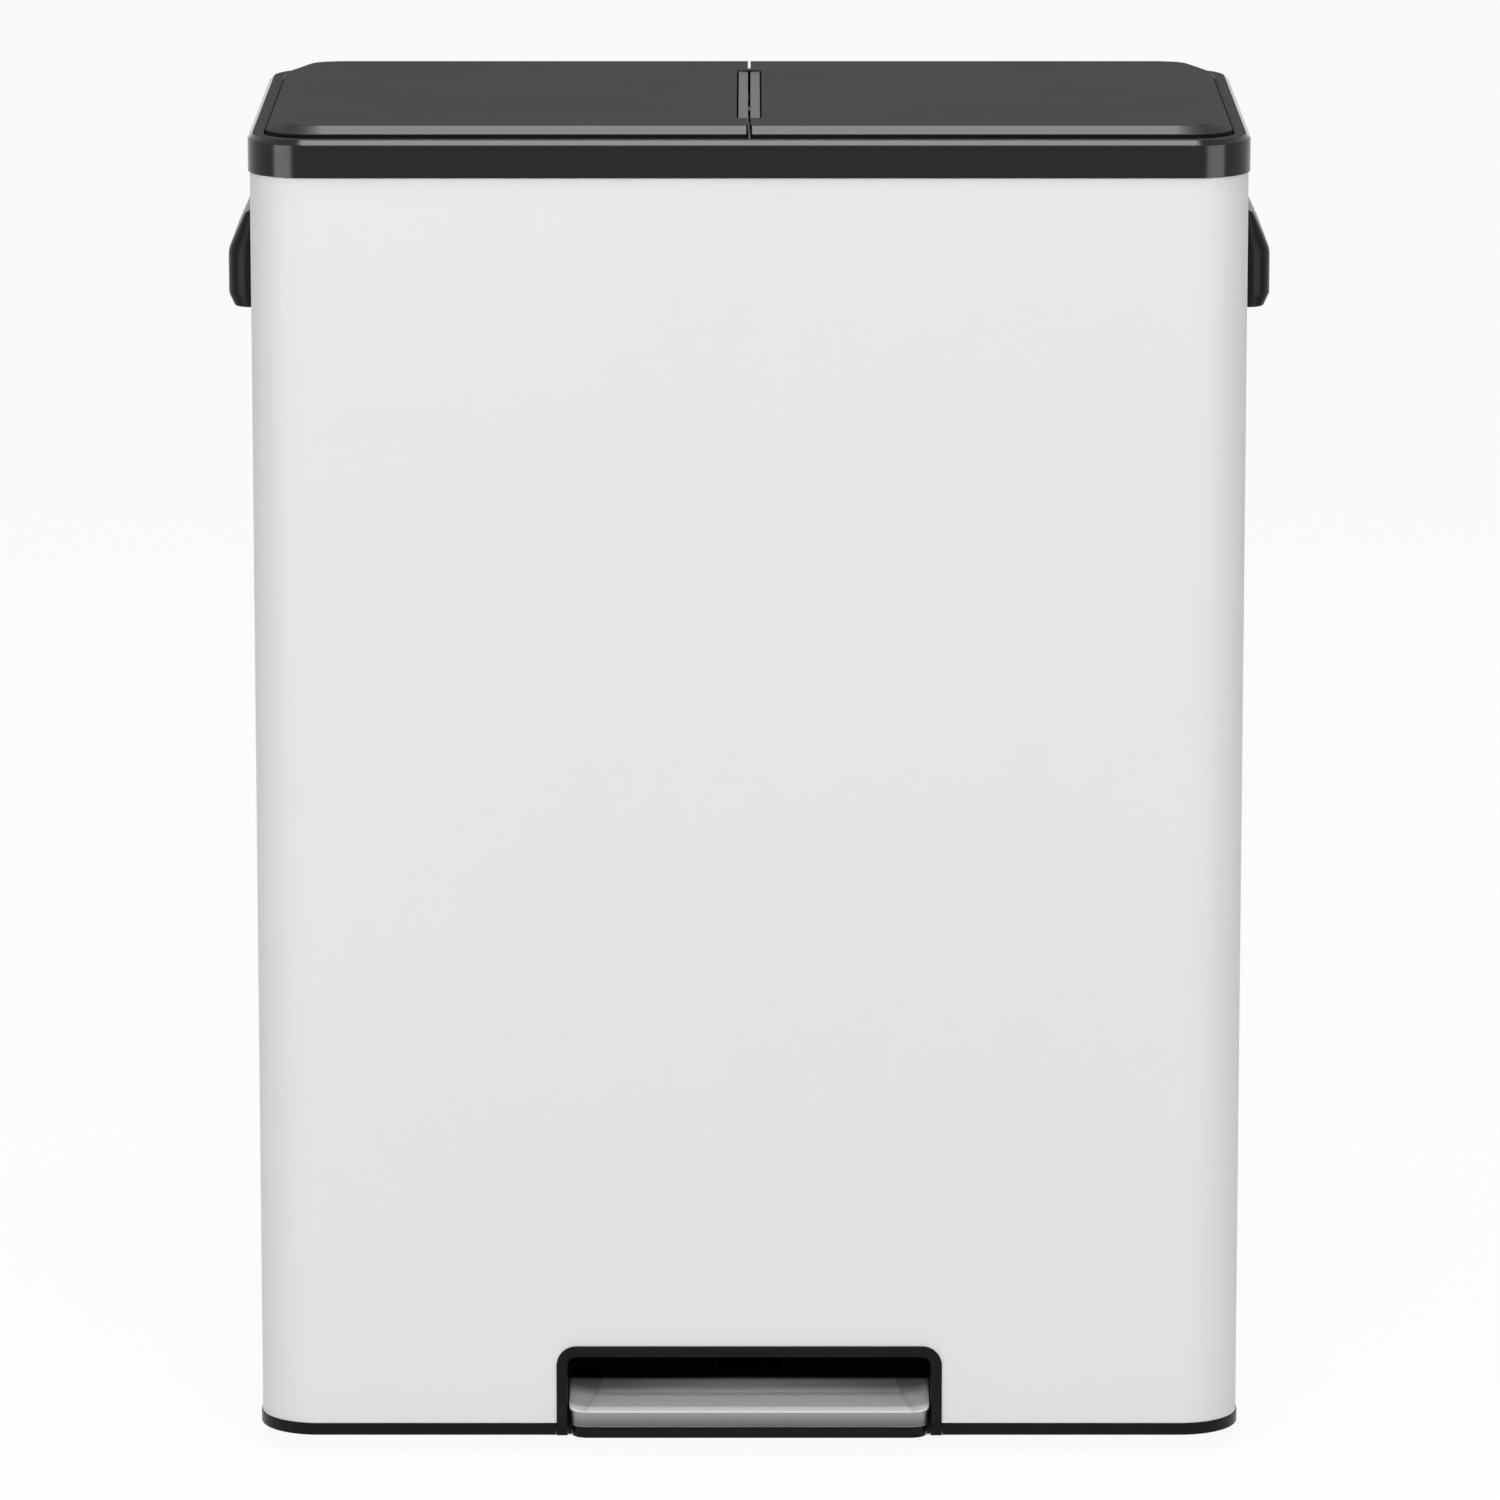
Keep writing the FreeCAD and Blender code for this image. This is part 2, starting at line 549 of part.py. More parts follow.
def make_pedal_surround():
    """The frame round the pedal and, behind it, the recess that carries the axle."""
    surround = new_body("pedal_surround")
    face = rectangle(surround, "XZ_Plane", "shell_front", "-frame_half", "frame_half", "foot_height",
                     "frame_top", (None, None, "frame_radius", "frame_radius"))
    grow(surround, face, "rim_overhang")
    legs = rectangle(surround, "XZ_Plane", "shell_front", "-recess_half", "recess_half", "foot_height",
                     "recess_top", (None, None, "opening_radius + recess_wall", "opening_radius + recess_wall"))
    grow(surround, legs, "recess_back - shell_front", reverse=True)
    for sign in (-1, 1):
        left, right = sorted(("%d * (recess_half - 1)" % sign, "%d * (recess_half + flange_width)" % sign), key=value)
        foot = rectangle(surround, "XY_Plane", "floor_top", left, right, "flange_front", "recess_back")
        grow(surround, foot, "tray_floor")
        boss = circles(surround, "YZ_Plane", "%d * (recess_half - 1)" % sign, [("axle_y", "axle_height")],
                       "axle_boss_radius")
        grow(surround, boss, "axle_boss_length + 1", reverse=sign < 0)
    opening = rectangle(surround, "XZ_Plane", "rim_front - 1", "-opening_half", "opening_half",
                        "foot_height - 1", "opening_top", (None, None, "opening_radius", "opening_radius"))
    cut(surround, opening, "recess_depth - recess_wall + 1")
    slot = rectangle(surround, "XZ_Plane", "recess_back - recess_wall - 1", "-lever_slot_half", "lever_slot_half",
                     "foot_height - 1", "foot_height + lever_slot_top")
    cut(surround, slot, "recess_wall + 2")
    bore = circles(surround, "YZ_Plane", "recess_half + axle_boss_length + 1", [("axle_y", "axle_height")],
                   "axle_radius + fixed_clearance")
    cut(surround, bore, "2 * (recess_half + axle_boss_length + 1)")
    holes = circles(surround, "XY_Plane", "floor_top + tray_floor + 1", flange_screw_places(),
                    "screw_radius + fixed_clearance")
    cut(surround, holes, "tray_floor + 2")


def make_top_rim():
    """The rim: a well for the lids, a ledge for the buckets, lugs for the hinges."""
    rim = new_body("top_rim")
    grow(rim, inset_rectangle(rim, "rim_bottom", "0", "corner_radius"), "rim_height")
    tongue_bottom = "rim_bottom - tongue_height"
    grow(rim, inset_rectangle(rim, tongue_bottom, "fit_inset", "corner_radius - fit_inset"), "tongue_height")
    under = inset_rectangle(rim, tongue_bottom, "tongue_inset", "corner_radius - tongue_inset")
    cut(rim, under, "ledge_top - ledge_thick - (%s)" % tongue_bottom, reverse=True)
    cut(rim, inset_rectangle(rim, "rim_top", "rim_band", "corner_radius - rim_band"), "well_depth")
    top = value("rim_top")
    fillet(rim, "rim_edge", lambda box: near(box.ZMin, top) and near(box.ZMax, top) and outside_edge(box))
    fillet(rim, "rim_lip_edge", lambda box: near(box.ZMin, top) and near(box.ZMax, top)
           and not outside_edge(box))
    for sign in (-1, 1):
        left, right = sorted(("%d * hole_inner" % sign, "%d * hole_outer" % sign), key=value)
        hole = rectangle(rim, "XY_Plane", "ledge_top", left, right, "hole_front", "hole_back", ("hole_radius",) * 4)
        cut(rim, hole, "ledge_thick + 1")
        slot_half = "(cap_size / 2 + slot_gap)"
        slot = rectangle(rim, "XY_Plane", "ledge_top", "%d * rod_spread - %s" % (sign, slot_half),
                         "%d * rod_spread + %s" % (sign, slot_half), "rod_y - %s" % slot_half,
                         "hinge_y - knuckle_radius - 2")
        cut(rim, slot, "ledge_thick + 1")
        for lug_x in ("inner_lug_x", "outer_lug_x"):
            start = "%d * %s - lug_width / 2" % (sign, lug_x)
            web = rectangle(rim, "YZ_Plane", start, "hinge_y - knuckle_radius", "hinge_y + knuckle_radius",
                            "ledge_top - ledge_thick / 2", "hinge_z")
            grow(rim, web, "lug_width")
            grow(rim, circles(rim, "YZ_Plane", start, [("hinge_y", "hinge_z")], "knuckle_radius"), "lug_width")
    bore = circles(rim, "YZ_Plane", "outer_lug_x + lug_width", [("hinge_y", "hinge_z")],
                   "pin_radius + fixed_clearance")
    cut(rim, bore, "2 * (outer_lug_x + lug_width)")
    bumper_holes = [(across, "bumper_y") for across in bumper_places()]
    cut(rim, circles(rim, "XY_Plane", "ledge_top", bumper_holes, "bumper_radius / 2 + fixed_clearance"),
        "ledge_thick + 1")


def outside_edge(box):
    """Whether an edge's box belongs to the rim's outer outline."""
    half_band = value("rim_band") / 2
    return (box.YMax < value("rim_front") + half_band or box.YMin > value("rim_back") - half_band
            or max(abs(box.XMin), abs(box.XMax)) > value("rim_half") - half_band)


def bumper_places():
    return ["-bumper_far_x", "-bumper_near_x", "bumper_near_x", "bumper_far_x"]


def make_lid_bumpers():
    """Rubber buttons in the ledge, under the lids' front skirts."""
    bumpers = []
    for number, across in enumerate(bumper_places(), start=1):
        name = "bumper_%d" % number
        button = cylinder(name + "_button", "Z", (across, "bumper_y", "ledge_top"), "bumper_radius",
                          "bumper_top - ledge_top")
        stem = cylinder(name + "_stem", "Z", (across, "bumper_y", "ledge_top - ledge_thick"),
                        "bumper_radius / 2", "ledge_thick")
        bumpers.append(fuse(name, [button, stem]))
    group("lid_bumpers", bumpers)


def make_bucket():
    """A tapered liner that hangs on the rim's ledge by its flange."""
    bucket = new_body("bucket_right")
    sides = ("hole_inner + bucket_gap", "hole_outer - bucket_gap", "hole_front + bucket_gap", "hole_back - bucket_gap")

    def plan(at, inset, radius):
        left, right, low, high = sides
        return rectangle(bucket, "XY_Plane", at, "%s + (%s)" % (left, inset), "%s - (%s)" % (right, inset),
                         "%s + (%s)" % (low, inset), "%s - (%s)" % (high, inset), (radius,) * 4)

    corner = "hole_radius - bucket_gap"
    loft(bucket, plan("bucket_bottom", "bucket_taper", corner), plan("ledge_top", "0", corner))
    grow(bucket, plan("ledge_top", "-(bucket_gap + flange_lap)", "hole_radius + flange_lap"), "flange_thick")
    inner = "hole_radius - bucket_gap - bucket_wall"
    loft(bucket, plan("bucket_bottom + bucket_wall", "bucket_taper + bucket_wall", inner),
         plan("ledge_top + flange_thick", "bucket_wall", inner), "SubtractiveLoft")
    mirror("bucket_left", bucket)


def make_side_handles():
    """A cup pull: sloped on top, closed at the ends and open below for the fingers."""
    handle = new_body("side_handle_right")
    face = "shell_half + handle_proud"
    outline = [("shell_half", "handle_bottom"), (face + " - handle_chin / 2", "handle_bottom"),
               (face, "handle_bottom + handle_chin"), (face, "handle_top - handle_shoulder"),
               (face + " - handle_proud * 0.6", "handle_top - handle_wall"),
               ("shell_half", "handle_top")]
    back = "middle_y + handle_length / 2"
    grow(handle, polygon(handle, "XZ_Plane", back, outline), "handle_length")
    half, bottom = value("shell_half"), value("handle_bottom")
    ends = (value("middle_y") - value("handle_length") / 2, value("middle_y") + value("handle_length") / 2)
    fillet(handle, "handle_round", lambda box: near(box.YMin, box.YMax)
           and any(near(box.YMin, end) for end in ends)
           and box.XMin > half + TINY and box.ZMax > bottom + TINY)
    hollow = [("shell_half - 1", "handle_bottom - 1"), (face + " - handle_wall", "handle_bottom - 1"),
              (face + " - handle_wall", "handle_top - handle_shoulder - handle_wall / 2"),
              (face + " - handle_proud * 0.6", "handle_top - 3 * handle_wall"),
              ("shell_half - 1", "handle_top - 3 * handle_wall")]
    inner_back = "middle_y + handle_length / 2 - handle_end"
    cut(handle, polygon(handle, "XZ_Plane", inner_back, hollow), "handle_length - 2 * handle_end", reverse=True)
    holes = [("middle_y - handle_screw_y", "handle_screw_z"), ("middle_y + handle_screw_y", "handle_screw_z")]
    sketch = circles(handle, "YZ_Plane", "shell_half", holes, "screw_radius + fixed_clearance")
    cut(handle, sketch, "handle_screw_reach", reverse=True)
    mirror("side_handle_left", handle)


def make_handle_screws():
    """Screws from inside the sheet into the handles' solid ends."""
    screws = []
    for sign, place in ((1, "right"), (-1, "left")):
        inner = "(shell_half - shell_wall)"
        head = "%s - screw_head_height" % inner if sign > 0 else "-%s" % inner
        shank = inner if sign > 0 else "-%s - shell_wall - handle_screw_reach + tip_gap" % inner
        for number, end in enumerate(("middle_y - handle_screw_y", "middle_y + handle_screw_y"), start=1):
            screws.append(screw("handle_screw_%s_%d" % (place, number), "X", (head, end, "handle_screw_z"),
                                (shank, end, "handle_screw_z"), "shell_wall + handle_screw_reach - tip_gap"))
    group("handle_screws", screws)


def make_surround_screws():
    """Screws through the recess's flanges into the tray's floor."""
    head_z = "floor_top + tray_floor"
    screws = [screw("surround_screw_%d" % number, "Z", (across, end, head_z),
                    (across, end, "foot_height + tip_gap"), "2 * tray_floor - tip_gap")
              for number, (across, end) in enumerate(flange_screw_places(), start=1)]
    group("surround_screws", screws)


def make_pins_and_axle():
    """One long pin for each lid, and the axle that the pedal turns on."""
    for sign, place in ((1, "right"), (-1, "left")):
        near_end, far_end = "(inner_lug_x - lug_width / 2)", "(outer_lug_x + lug_width / 2)"
        start = near_end if sign > 0 else "-" + far_end
        named("hinge_pin_" + place, cylinder("hinge_pin_" + place, "X", (start, "hinge_y", "hinge_z"),
                                             "pin_radius", far_end + " - " + near_end))
    reach = "(recess_half + axle_boss_length)"
    named("pedal_axle", cylinder("pedal_axle", "X", ("-" + reach, "axle_y", "axle_height"), "axle_radius",
                                 "2 * " + reach))


def make_rod_guides():
    """Brackets welded to the back of the casing, each with a flanged bush."""
    brackets, bushes = [], []
    wall = "(shell_back - shell_wall)"
    for sign, place in ((1, "right"), (-1, "left")):
        rod_x = "%d * rod_spread" % sign
        side = (rod_x + " - guide_width / 2", rod_x + " + guide_width / 2")
        for level, height in (("low", "lower_guide"), ("high", "upper_guide")):
            name = "%s_%s" % (place, level)
            plate = block("plate_" + name, side, (wall + " - guide_sheet", wall),
                          (height + " - guide_plate_height", height))
            arm = block("arm_" + name, side, ("rod_y - bush_radius - bush_rim - guide_margin", wall),
                        (height + " - guide_sheet", height))
            bend = fuse("bend_" + name, [plate, arm])
            hole = cylinder("hole_" + name, "Z", (rod_x, "rod_y", height + " - 2 * guide_sheet"),
                            "bush_radius + fixed_clearance", "3 * guide_sheet")
            brackets.append(subtract("bracket_" + name, bend, hole))
            barrel = cylinder("barrel_" + name, "Z", (rod_x, "rod_y", height + " - 2 * guide_sheet"),
                              "bush_radius", "2 * guide_sheet")
            brim = cylinder("brim_" + name, "Z", (rod_x, "rod_y", height), "bush_radius + bush_rim",
                            "guide_sheet")
            bore = cylinder("bore_" + name, "Z", (rod_x, "rod_y", height + " - 3 * guide_sheet"),
                            "rod_radius + rod_play", "5 * guide_sheet")
            bushes.append(subtract("bush_" + name, fuse("bush_body_" + name, [barrel, brim]), bore))
    group("rod_guide_brackets", brackets)
    group("rod_guide_bushes", bushes)


# --------------------------------------------------------------------- the lids

def lid_plan(body, at, outer, inner, front, back, radius, back_radius):
    """A left lid's outline: two round corners outside, two square ones at the split."""
    radii = (radius, None, None, back_radius)
    return rectangle(body, "XY_Plane", at, outer, inner, front, back, radii)


def make_lid_covers():
    """A pressed cover: flat top, bevels on three sides, a skirt, a finger step."""
    lid = new_body("lid_cover_left")
    split = "-lid_split / 2"
    inner_wall = "-(lid_split / 2 + lid_wall)"
    rim_plan = ("-lid_half", split, "lid_front", "lid_back", "lid_radius", "lid_back_radius")
    top_plan = ("-(lid_half - lid_bevel)", split, "lid_front + lid_bevel", "lid_back - lid_back_bevel",
                "lid_top_radius", "lid_top_back_radius")
    grow(lid, lid_plan(lid, "skirt_bottom", *rim_plan), "bevel_bottom - skirt_bottom")
    loft(lid, lid_plan(lid, "bevel_bottom", *rim_plan), lid_plan(lid, "overall_height", *top_plan))
    hollow = ("-(lid_half - lid_wall)", inner_wall, "lid_front + lid_wall", "lid_back - lid_wall",
              "lid_radius - lid_wall", "lid_back_radius - lid_wall")
    under_plan = ("-(lid_half - lid_bevel - lid_wall / 2)", inner_wall, "lid_front + lid_bevel + lid_wall / 2",
                  "lid_back - lid_back_bevel - lid_wall / 2", "max(lid_top_radius - lid_wall / 2, 1)",
                  "lid_top_back_radius - lid_wall / 2")
    turn = "bevel_bottom - lid_wall"
    cut(lid, lid_plan(lid, "skirt_bottom", *hollow), "(%s) - skirt_bottom" % turn, reverse=True)
    loft(lid, lid_plan(lid, turn, *hollow), lid_plan(lid, "cover_under", *under_plan), "SubtractiveLoft")
    step = rectangle(lid, "XY_Plane", "overall_height", "-(lid_split / 2 + grip_width)", "1",
                     "rim_front + grip_start", "rim_front + grip_start + grip_length")
    cut(lid, step, "grip_depth")
    play = "(lug_width / 2 + knuckle_gap)"
    for lug_x in ("inner_lug_x", "outer_lug_x"):
        notch = rectangle(lid, "YZ_Plane", "-%s - %s" % (lug_x, play), "hinge_y - knuckle_radius - 2",
                          "lid_back + 1", "skirt_bottom - 1", "hinge_z + knuckle_radius - 0.2")
        grow(lid, notch, "2 * " + play, kind="Pocket", reverse=True)
    mirror("lid_cover_right", lid)


def make_lid_liners():
    """The panel under a cover, with the hinge knuckles and the tab that a rod pushes."""
    liner = new_body("lid_liner_left")
    edge = "(lid_bevel + lid_wall + seat_gap)"
    plan = ("-(lid_half - %s)" % edge, "-(lid_split / 2 + lid_wall + seat_gap)", "lid_front + " + edge,
            "hinge_y - knuckle_radius - 2", "lid_top_radius", "lid_top_radius")
    grow(liner, lid_plan(liner, "liner_under", *plan), "liner_thick")
    border = "skirt_bottom + 2"
    grow(liner, lid_plan(liner, border, *plan), "liner_under - (%s)" % border)
    inside = ("-(lid_half - %s - liner_thick)" % edge, "-(lid_split / 2 + lid_wall + seat_gap + liner_thick)",
              "lid_front + %s + liner_thick" % edge, "hinge_y - knuckle_radius - 2 - liner_thick",
              "max(lid_top_radius - liner_thick, 1)", "max(lid_top_radius - liner_thick, 1)")
    cut(liner, lid_plan(liner, border, *inside), "liner_under - (%s)" % border, reverse=True)
    for first in ("inner_lug_x + lug_width / 2 + knuckle_gap",
                  "outer_lug_x - lug_width / 2 - knuckle_gap - knuckle_width"):
        start = "-(%s + knuckle_width)" % first
        grow(liner, circles(liner, "YZ_Plane", start, [("hinge_y", "hinge_z")], "knuckle_radius"), "knuckle_width")
        web = rectangle(liner, "YZ_Plane", start, "hinge_y - knuckle_radius - 3", "hinge_y", "hinge_z - 1",
                        "hinge_z + knuckle_radius")
        grow(liner, web, "knuckle_width")
    tab_start = "-(rod_spread + tab_width / 2)"
    arm = [("nose_y - tab_nose", "nose_z"), ("nose_y + tab_nose", "nose_z"),
           ("hinge_y - knuckle_radius - 2", "liner_under + 1"), ("nose_y - 2 * tab_nose", "liner_under + 1")]
    grow(liner, polygon(liner, "YZ_Plane", tab_start, arm), "tab_width")
    grow(liner, circles(liner, "YZ_Plane", tab_start, [("nose_y", "nose_z")], "tab_nose"), "tab_width")
    bore = circles(liner, "YZ_Plane", "-inner_lug_x", [("hinge_y", "hinge_z")], "pin_radius + pin_clearance")
    cut(liner, bore, "outer_lug_x - inner_lug_x")
    mirror("lid_liner_right", liner)


# -------------------------------------------------------------------- the pedal

def make_pedal_tread():
    """Pressed steel: a flat panel, a turned-down lip, and a raised border on three sides."""
    tread = new_body("pedal_tread")
    outline = rectangle(tread, "XY_Plane", "lip_bottom", "-tread_half", "tread_half", "pedal_front", "tread_back",
                        ("tread_corner", "tread_corner", None, None))
    grow(tread, outline, "tread_top - lip_bottom")
    front = "pedal_front - 1"
    panel = [("-dish_front_half", front), ("dish_front_half", front),
             ("dish_back_half", "pedal_front + dish_depth"), ("-dish_back_half", "pedal_front + dish_depth")]
    border = "(tread_half - tread_edge)"
    crest = "pedal_front + dish_depth + dish_back_slope"
    top = [("-" + border, front), (border, front), (border, crest), ("-" + border, crest)]
    loft(tread, polygon(tread, "XY_Plane", "lip_top", panel), polygon(tread, "XY_Plane", "tread_top", top),
         "SubtractiveLoft")
    fall = [("pedal_front", "lip_top + dish_front_rise"), ("pedal_front + dish_depth", "tread_top"),
            ("pedal_front + dish_depth", "tread_top + 1"), ("pedal_front - 1", "tread_top + 1"),
            ("pedal_front - 1", "lip_top + dish_front_rise")]
    cut(tread, polygon(tread, "YZ_Plane", "tread_half + 1", fall), "2 * tread_half + 2")
    hollow = rectangle(tread, "XY_Plane", "lip_bottom", "-(tread_half - tread_skin)", "tread_half - tread_skin",
                       "pedal_front + tread_skin", "tread_back - tread_skin",
                       ("tread_corner - tread_skin", "tread_corner - tread_skin", None, None))
    cut(tread, hollow, "lip_top - tread_skin - lip_bottom", reverse=True)
    back_edge = rectangle(tread, "XY_Plane", "lip_bottom", "-(tread_half - tread_skin)", "tread_half - tread_skin",
                          "tread_back - 2 * tread_skin", "tread_back + 1")
    cut(tread, back_edge, "lever_top + seat_gap - lip_bottom", reverse=True)


def make_pedal_body():
    """The moulding under the tread, ribbed below, with the axle's bore at its back."""
    moulding = new_body("pedal_body")
    top = "lip_top - tread_skin - seat_gap"
    side = [("block_front", "pedal_bottom"), ("axle_y - axle_boss_radius - 2", "pedal_bottom"),
            ("axle_y + axle_radius", "axle_height - axle_boss_radius + 1"), ("axle_y + axle_radius", "axle_height"),
            ("tread_back + seat_gap", "lip_bottom + 1"), ("tread_back + seat_gap", "lip_bottom - seat_gap"),
            ("block_back", "lip_bottom - seat_gap"), ("block_back", top), ("block_front", top)]
    grow(moulding, polygon(moulding, "YZ_Plane", "-block_half", side), "2 * block_half")
    grow(moulding, circles(moulding, "YZ_Plane", "-block_half", [("axle_y", "axle_height")],
                           "axle_boss_radius - 0.5"), "2 * block_half")
    corners = (value("block_front"), value("block_half"))
    fillet(moulding, "tread_corner - tread_skin", lambda box: near(box.YMin, corners[0])
           and near(box.YMax, corners[0]) and near(box.XMin, box.XMax) and box.ZLength > 1)
    groove = rectangle(moulding, "XY_Plane", "pedal_bottom", "-(lever_width / 2 + seat_gap)",
                       "lever_width / 2 + seat_gap", "lever_front - seat_gap", "axle_y + 2 * axle_boss_radius")
    cut(moulding, groove, "lever_top - pedal_bottom", reverse=True)
    bore = circles(moulding, "YZ_Plane", "block_half + 1", [("axle_y", "axle_height")],
                   "axle_radius + pin_clearance")
    cut(moulding, bore, "2 * block_half + 2")
    for place in (-3, -2, 2, 3):
        cell = rectangle(moulding, "XY_Plane", "pedal_bottom",
                         "%d * rib_pitch - (rib_pitch - rib_thick) / 2" % place,
                         "%d * rib_pitch + (rib_pitch - rib_thick) / 2" % place,
                         "block_front + rib_thick", "axle_y - axle_boss_radius - rib_thick")
        cut(moulding, cell, "lip_bottom - pedal_bottom", reverse=True)
    holes = [("0", place) for place in lever_screw_places()]
    cut(moulding, circles(moulding, "XY_Plane", "lever_top", holes, "screw_radius + fixed_clearance"),
        "lever_screw_reach", reverse=True)


def lever_screw_places():
    return ["lever_front + lever_screw_inset", "lever_front + lever_screw_inset + lever_screw_pitch"]


def make_pedal_lever():
    """A flat bar from the pedal to the back, with a round crossbar welded on its end."""
    bar = block("lever_bar", ("-lever_width / 2", "lever_width / 2"), ("lever_front", "rod_y + crossbar_radius + 2"),
                ("lever_bottom", "lever_top"))
    crossbar = cylinder("lever_crossbar", "X", ("-crossbar_half", "rod_y", "axle_height"), "crossbar_radius",
                        "2 * crossbar_half")
    weldment = fuse("lever_weldment", [bar, crossbar])
    holes = [cylinder("lever_hole_%d" % number, "Z", ("0", place, "lever_bottom - 1"),
                      "screw_radius + fixed_clearance", "lever_thick + 2")
             for number, place in enumerate(lever_screw_places(), start=1)]
    named("pedal_lever", subtract("pedal_lever", weldment, fuse("lever_holes", holes)))


def make_pedal_screws():
    """Screws from below through the lever into the pedal."""
    screws = [screw("pedal_screw_%d" % number, "Z", ("0", place, "lever_bottom - screw_head_height"),
                    ("0", place, "lever_bottom"), "lever_thick + lever_screw_reach - tip_gap")
              for number, place in enumerate(lever_screw_places(), start=1)]
    group("pedal_screws", screws)


def make_push_rods():
    """On each side: a rod, the pad that the crossbar lifts, the cap that lifts a lid."""
    for sign, place in ((1, "right"), (-1, "left")):
        rod_x = "%d * rod_spread" % sign
        rod_bottom, rod_top = "(pad_bottom + foot_pad_height / 2)", "(cap_top - cap_height / 2)"
        named("push_rod_" + place, cylinder("push_rod_" + place, "Z", (rod_x, "rod_y", rod_bottom), "rod_radius",
                                            rod_top + " - " + rod_bottom))
        pad = cylinder("pad_disc_" + place, "Z", (rod_x, "rod_y", "pad_bottom"), "foot_pad_radius",
                       "foot_pad_height")
        pad_bore = cylinder("pad_bore_" + place, "Z", (rod_x, "rod_y", rod_bottom),
                            "rod_radius + fixed_clearance", "foot_pad_height")
        named("rod_pad_" + place, subtract("rod_pad_" + place, pad, pad_bore))
        half = "cap_size / 2"
        cap = block("cap_block_" + place, (rod_x + " - " + half, rod_x + " + " + half),
                    ("rod_y - " + half, "rod_y + " + half), ("cap_top - cap_height", "cap_top"))
        cap_bore = cylinder("cap_bore_" + place, "Z", (rod_x, "rod_y", "cap_top - 2 * cap_height"),
                            "rod_radius + fixed_clearance", "1.5 * cap_height")
        named("rod_cap_" + place, subtract("rod_cap_" + place, cap, cap_bore))


# ---------------------------------------------------------------- checks and files

def check_document():
    """Stop on a failed object, an empty or broken shape, or a cut that removes nothing."""
    for item in doc.Objects:
        if "Invalid" in item.State or "Error" in item.State:
            raise RuntimeError("%s failed: %s" % (item.Label, item.State))
        if item.TypeId in ("PartDesign::Pocket", "PartDesign::SubtractiveLoft"):
            if item.Shape.Volume > item.BaseFeature.Shape.Volume - TINY:
                raise RuntimeError("%s removes nothing" % item.Label)
    for part in parts:
        if part.Shape.isNull() or not part.Shape.isValid():
            raise RuntimeError("%s has no valid shape" % part.Label)


def write_parts():
    os.makedirs("parts", exist_ok=True)
    for part in parts:
        part.Shape.exportStep(os.path.join("parts", part.Label + ".step"))
        print("%-20s solids %d  volume %9.1f" % (part.Label, len(part.Shape.Solids), part.Shape.Volume))


fill_sheet()
make_body_shell()
make_base_tray()
make_rubber_feet()
make_pedal_surround()
make_top_rim()
make_lid_bumpers()
make_bucket()
make_side_handles()
make_handle_screws()
make_surround_screws()
make_pins_and_axle()
make_rod_guides()
make_lid_covers()
make_lid_liners()
make_pedal_tread()
make_pedal_body()
make_pedal_lever()
make_pedal_screws()
make_push_rods()
doc.recompute()
check_document()
write_parts()
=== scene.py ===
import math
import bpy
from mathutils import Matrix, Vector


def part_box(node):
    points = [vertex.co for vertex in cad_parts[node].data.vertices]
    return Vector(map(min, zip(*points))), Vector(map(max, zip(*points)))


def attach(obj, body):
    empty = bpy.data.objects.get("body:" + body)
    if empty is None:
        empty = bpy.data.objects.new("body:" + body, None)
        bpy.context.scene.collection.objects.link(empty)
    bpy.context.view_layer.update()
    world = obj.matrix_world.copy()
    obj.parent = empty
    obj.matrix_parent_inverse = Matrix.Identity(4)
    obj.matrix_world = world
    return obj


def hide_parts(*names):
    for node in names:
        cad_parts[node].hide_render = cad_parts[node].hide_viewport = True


bl_info = {
    "name": "Double recycling bin",
    "version": (1, 0, 0),
    "blender": (4, 5, 0),
    "location": "3D View > Sidebar > Bin",
    "description": "Surfaces and finishes of a pedal bin with two buckets, built on its packed model",
    "category": "Object",
}

import bmesh
import bpy
import numpy as np
from bpy.props import FloatProperty, FloatVectorProperty, PointerProperty
from mathutils import Vector
from mathutils.geometry import delaunay_2d_cdt

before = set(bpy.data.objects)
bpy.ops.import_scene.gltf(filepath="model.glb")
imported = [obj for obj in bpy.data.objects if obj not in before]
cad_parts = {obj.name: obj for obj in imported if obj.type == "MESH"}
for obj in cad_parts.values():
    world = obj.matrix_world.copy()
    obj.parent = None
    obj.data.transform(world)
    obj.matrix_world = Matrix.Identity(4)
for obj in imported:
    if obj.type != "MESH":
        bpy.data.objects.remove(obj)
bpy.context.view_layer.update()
MM = 0.001


def cad_box(node):
    """A node's lowest and highest corners, in millimetres."""
    low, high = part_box(node)
    return np.array(low) / MM, np.array(high) / MM


# -------- sizes and colours

def length(name, description, millimetres):
    return FloatProperty(name=name, description=description, default=millimetres * MM, min=0.0,
                         subtype="DISTANCE", unit="LENGTH", precision=4)


def screen_colour(red, green, blue):
    """A colour as a screen shows it, 0 to 255, made linear: c / 12.92 below 0.04045 and
    ((c + 0.055) / 1.055) to the power 2.4 above it."""
    c = np.array([red, green, blue]) / 255
    return tuple(np.where(c < 0.04045, c / 12.92, ((c + 0.055) / 1.055) ** 2.4))


def colour(name, description, red, green, blue):
    return FloatVectorProperty(name=name, description=description, subtype="COLOR", size=3, min=0.0, max=1.0,
                               default=screen_colour(red, green, blue))


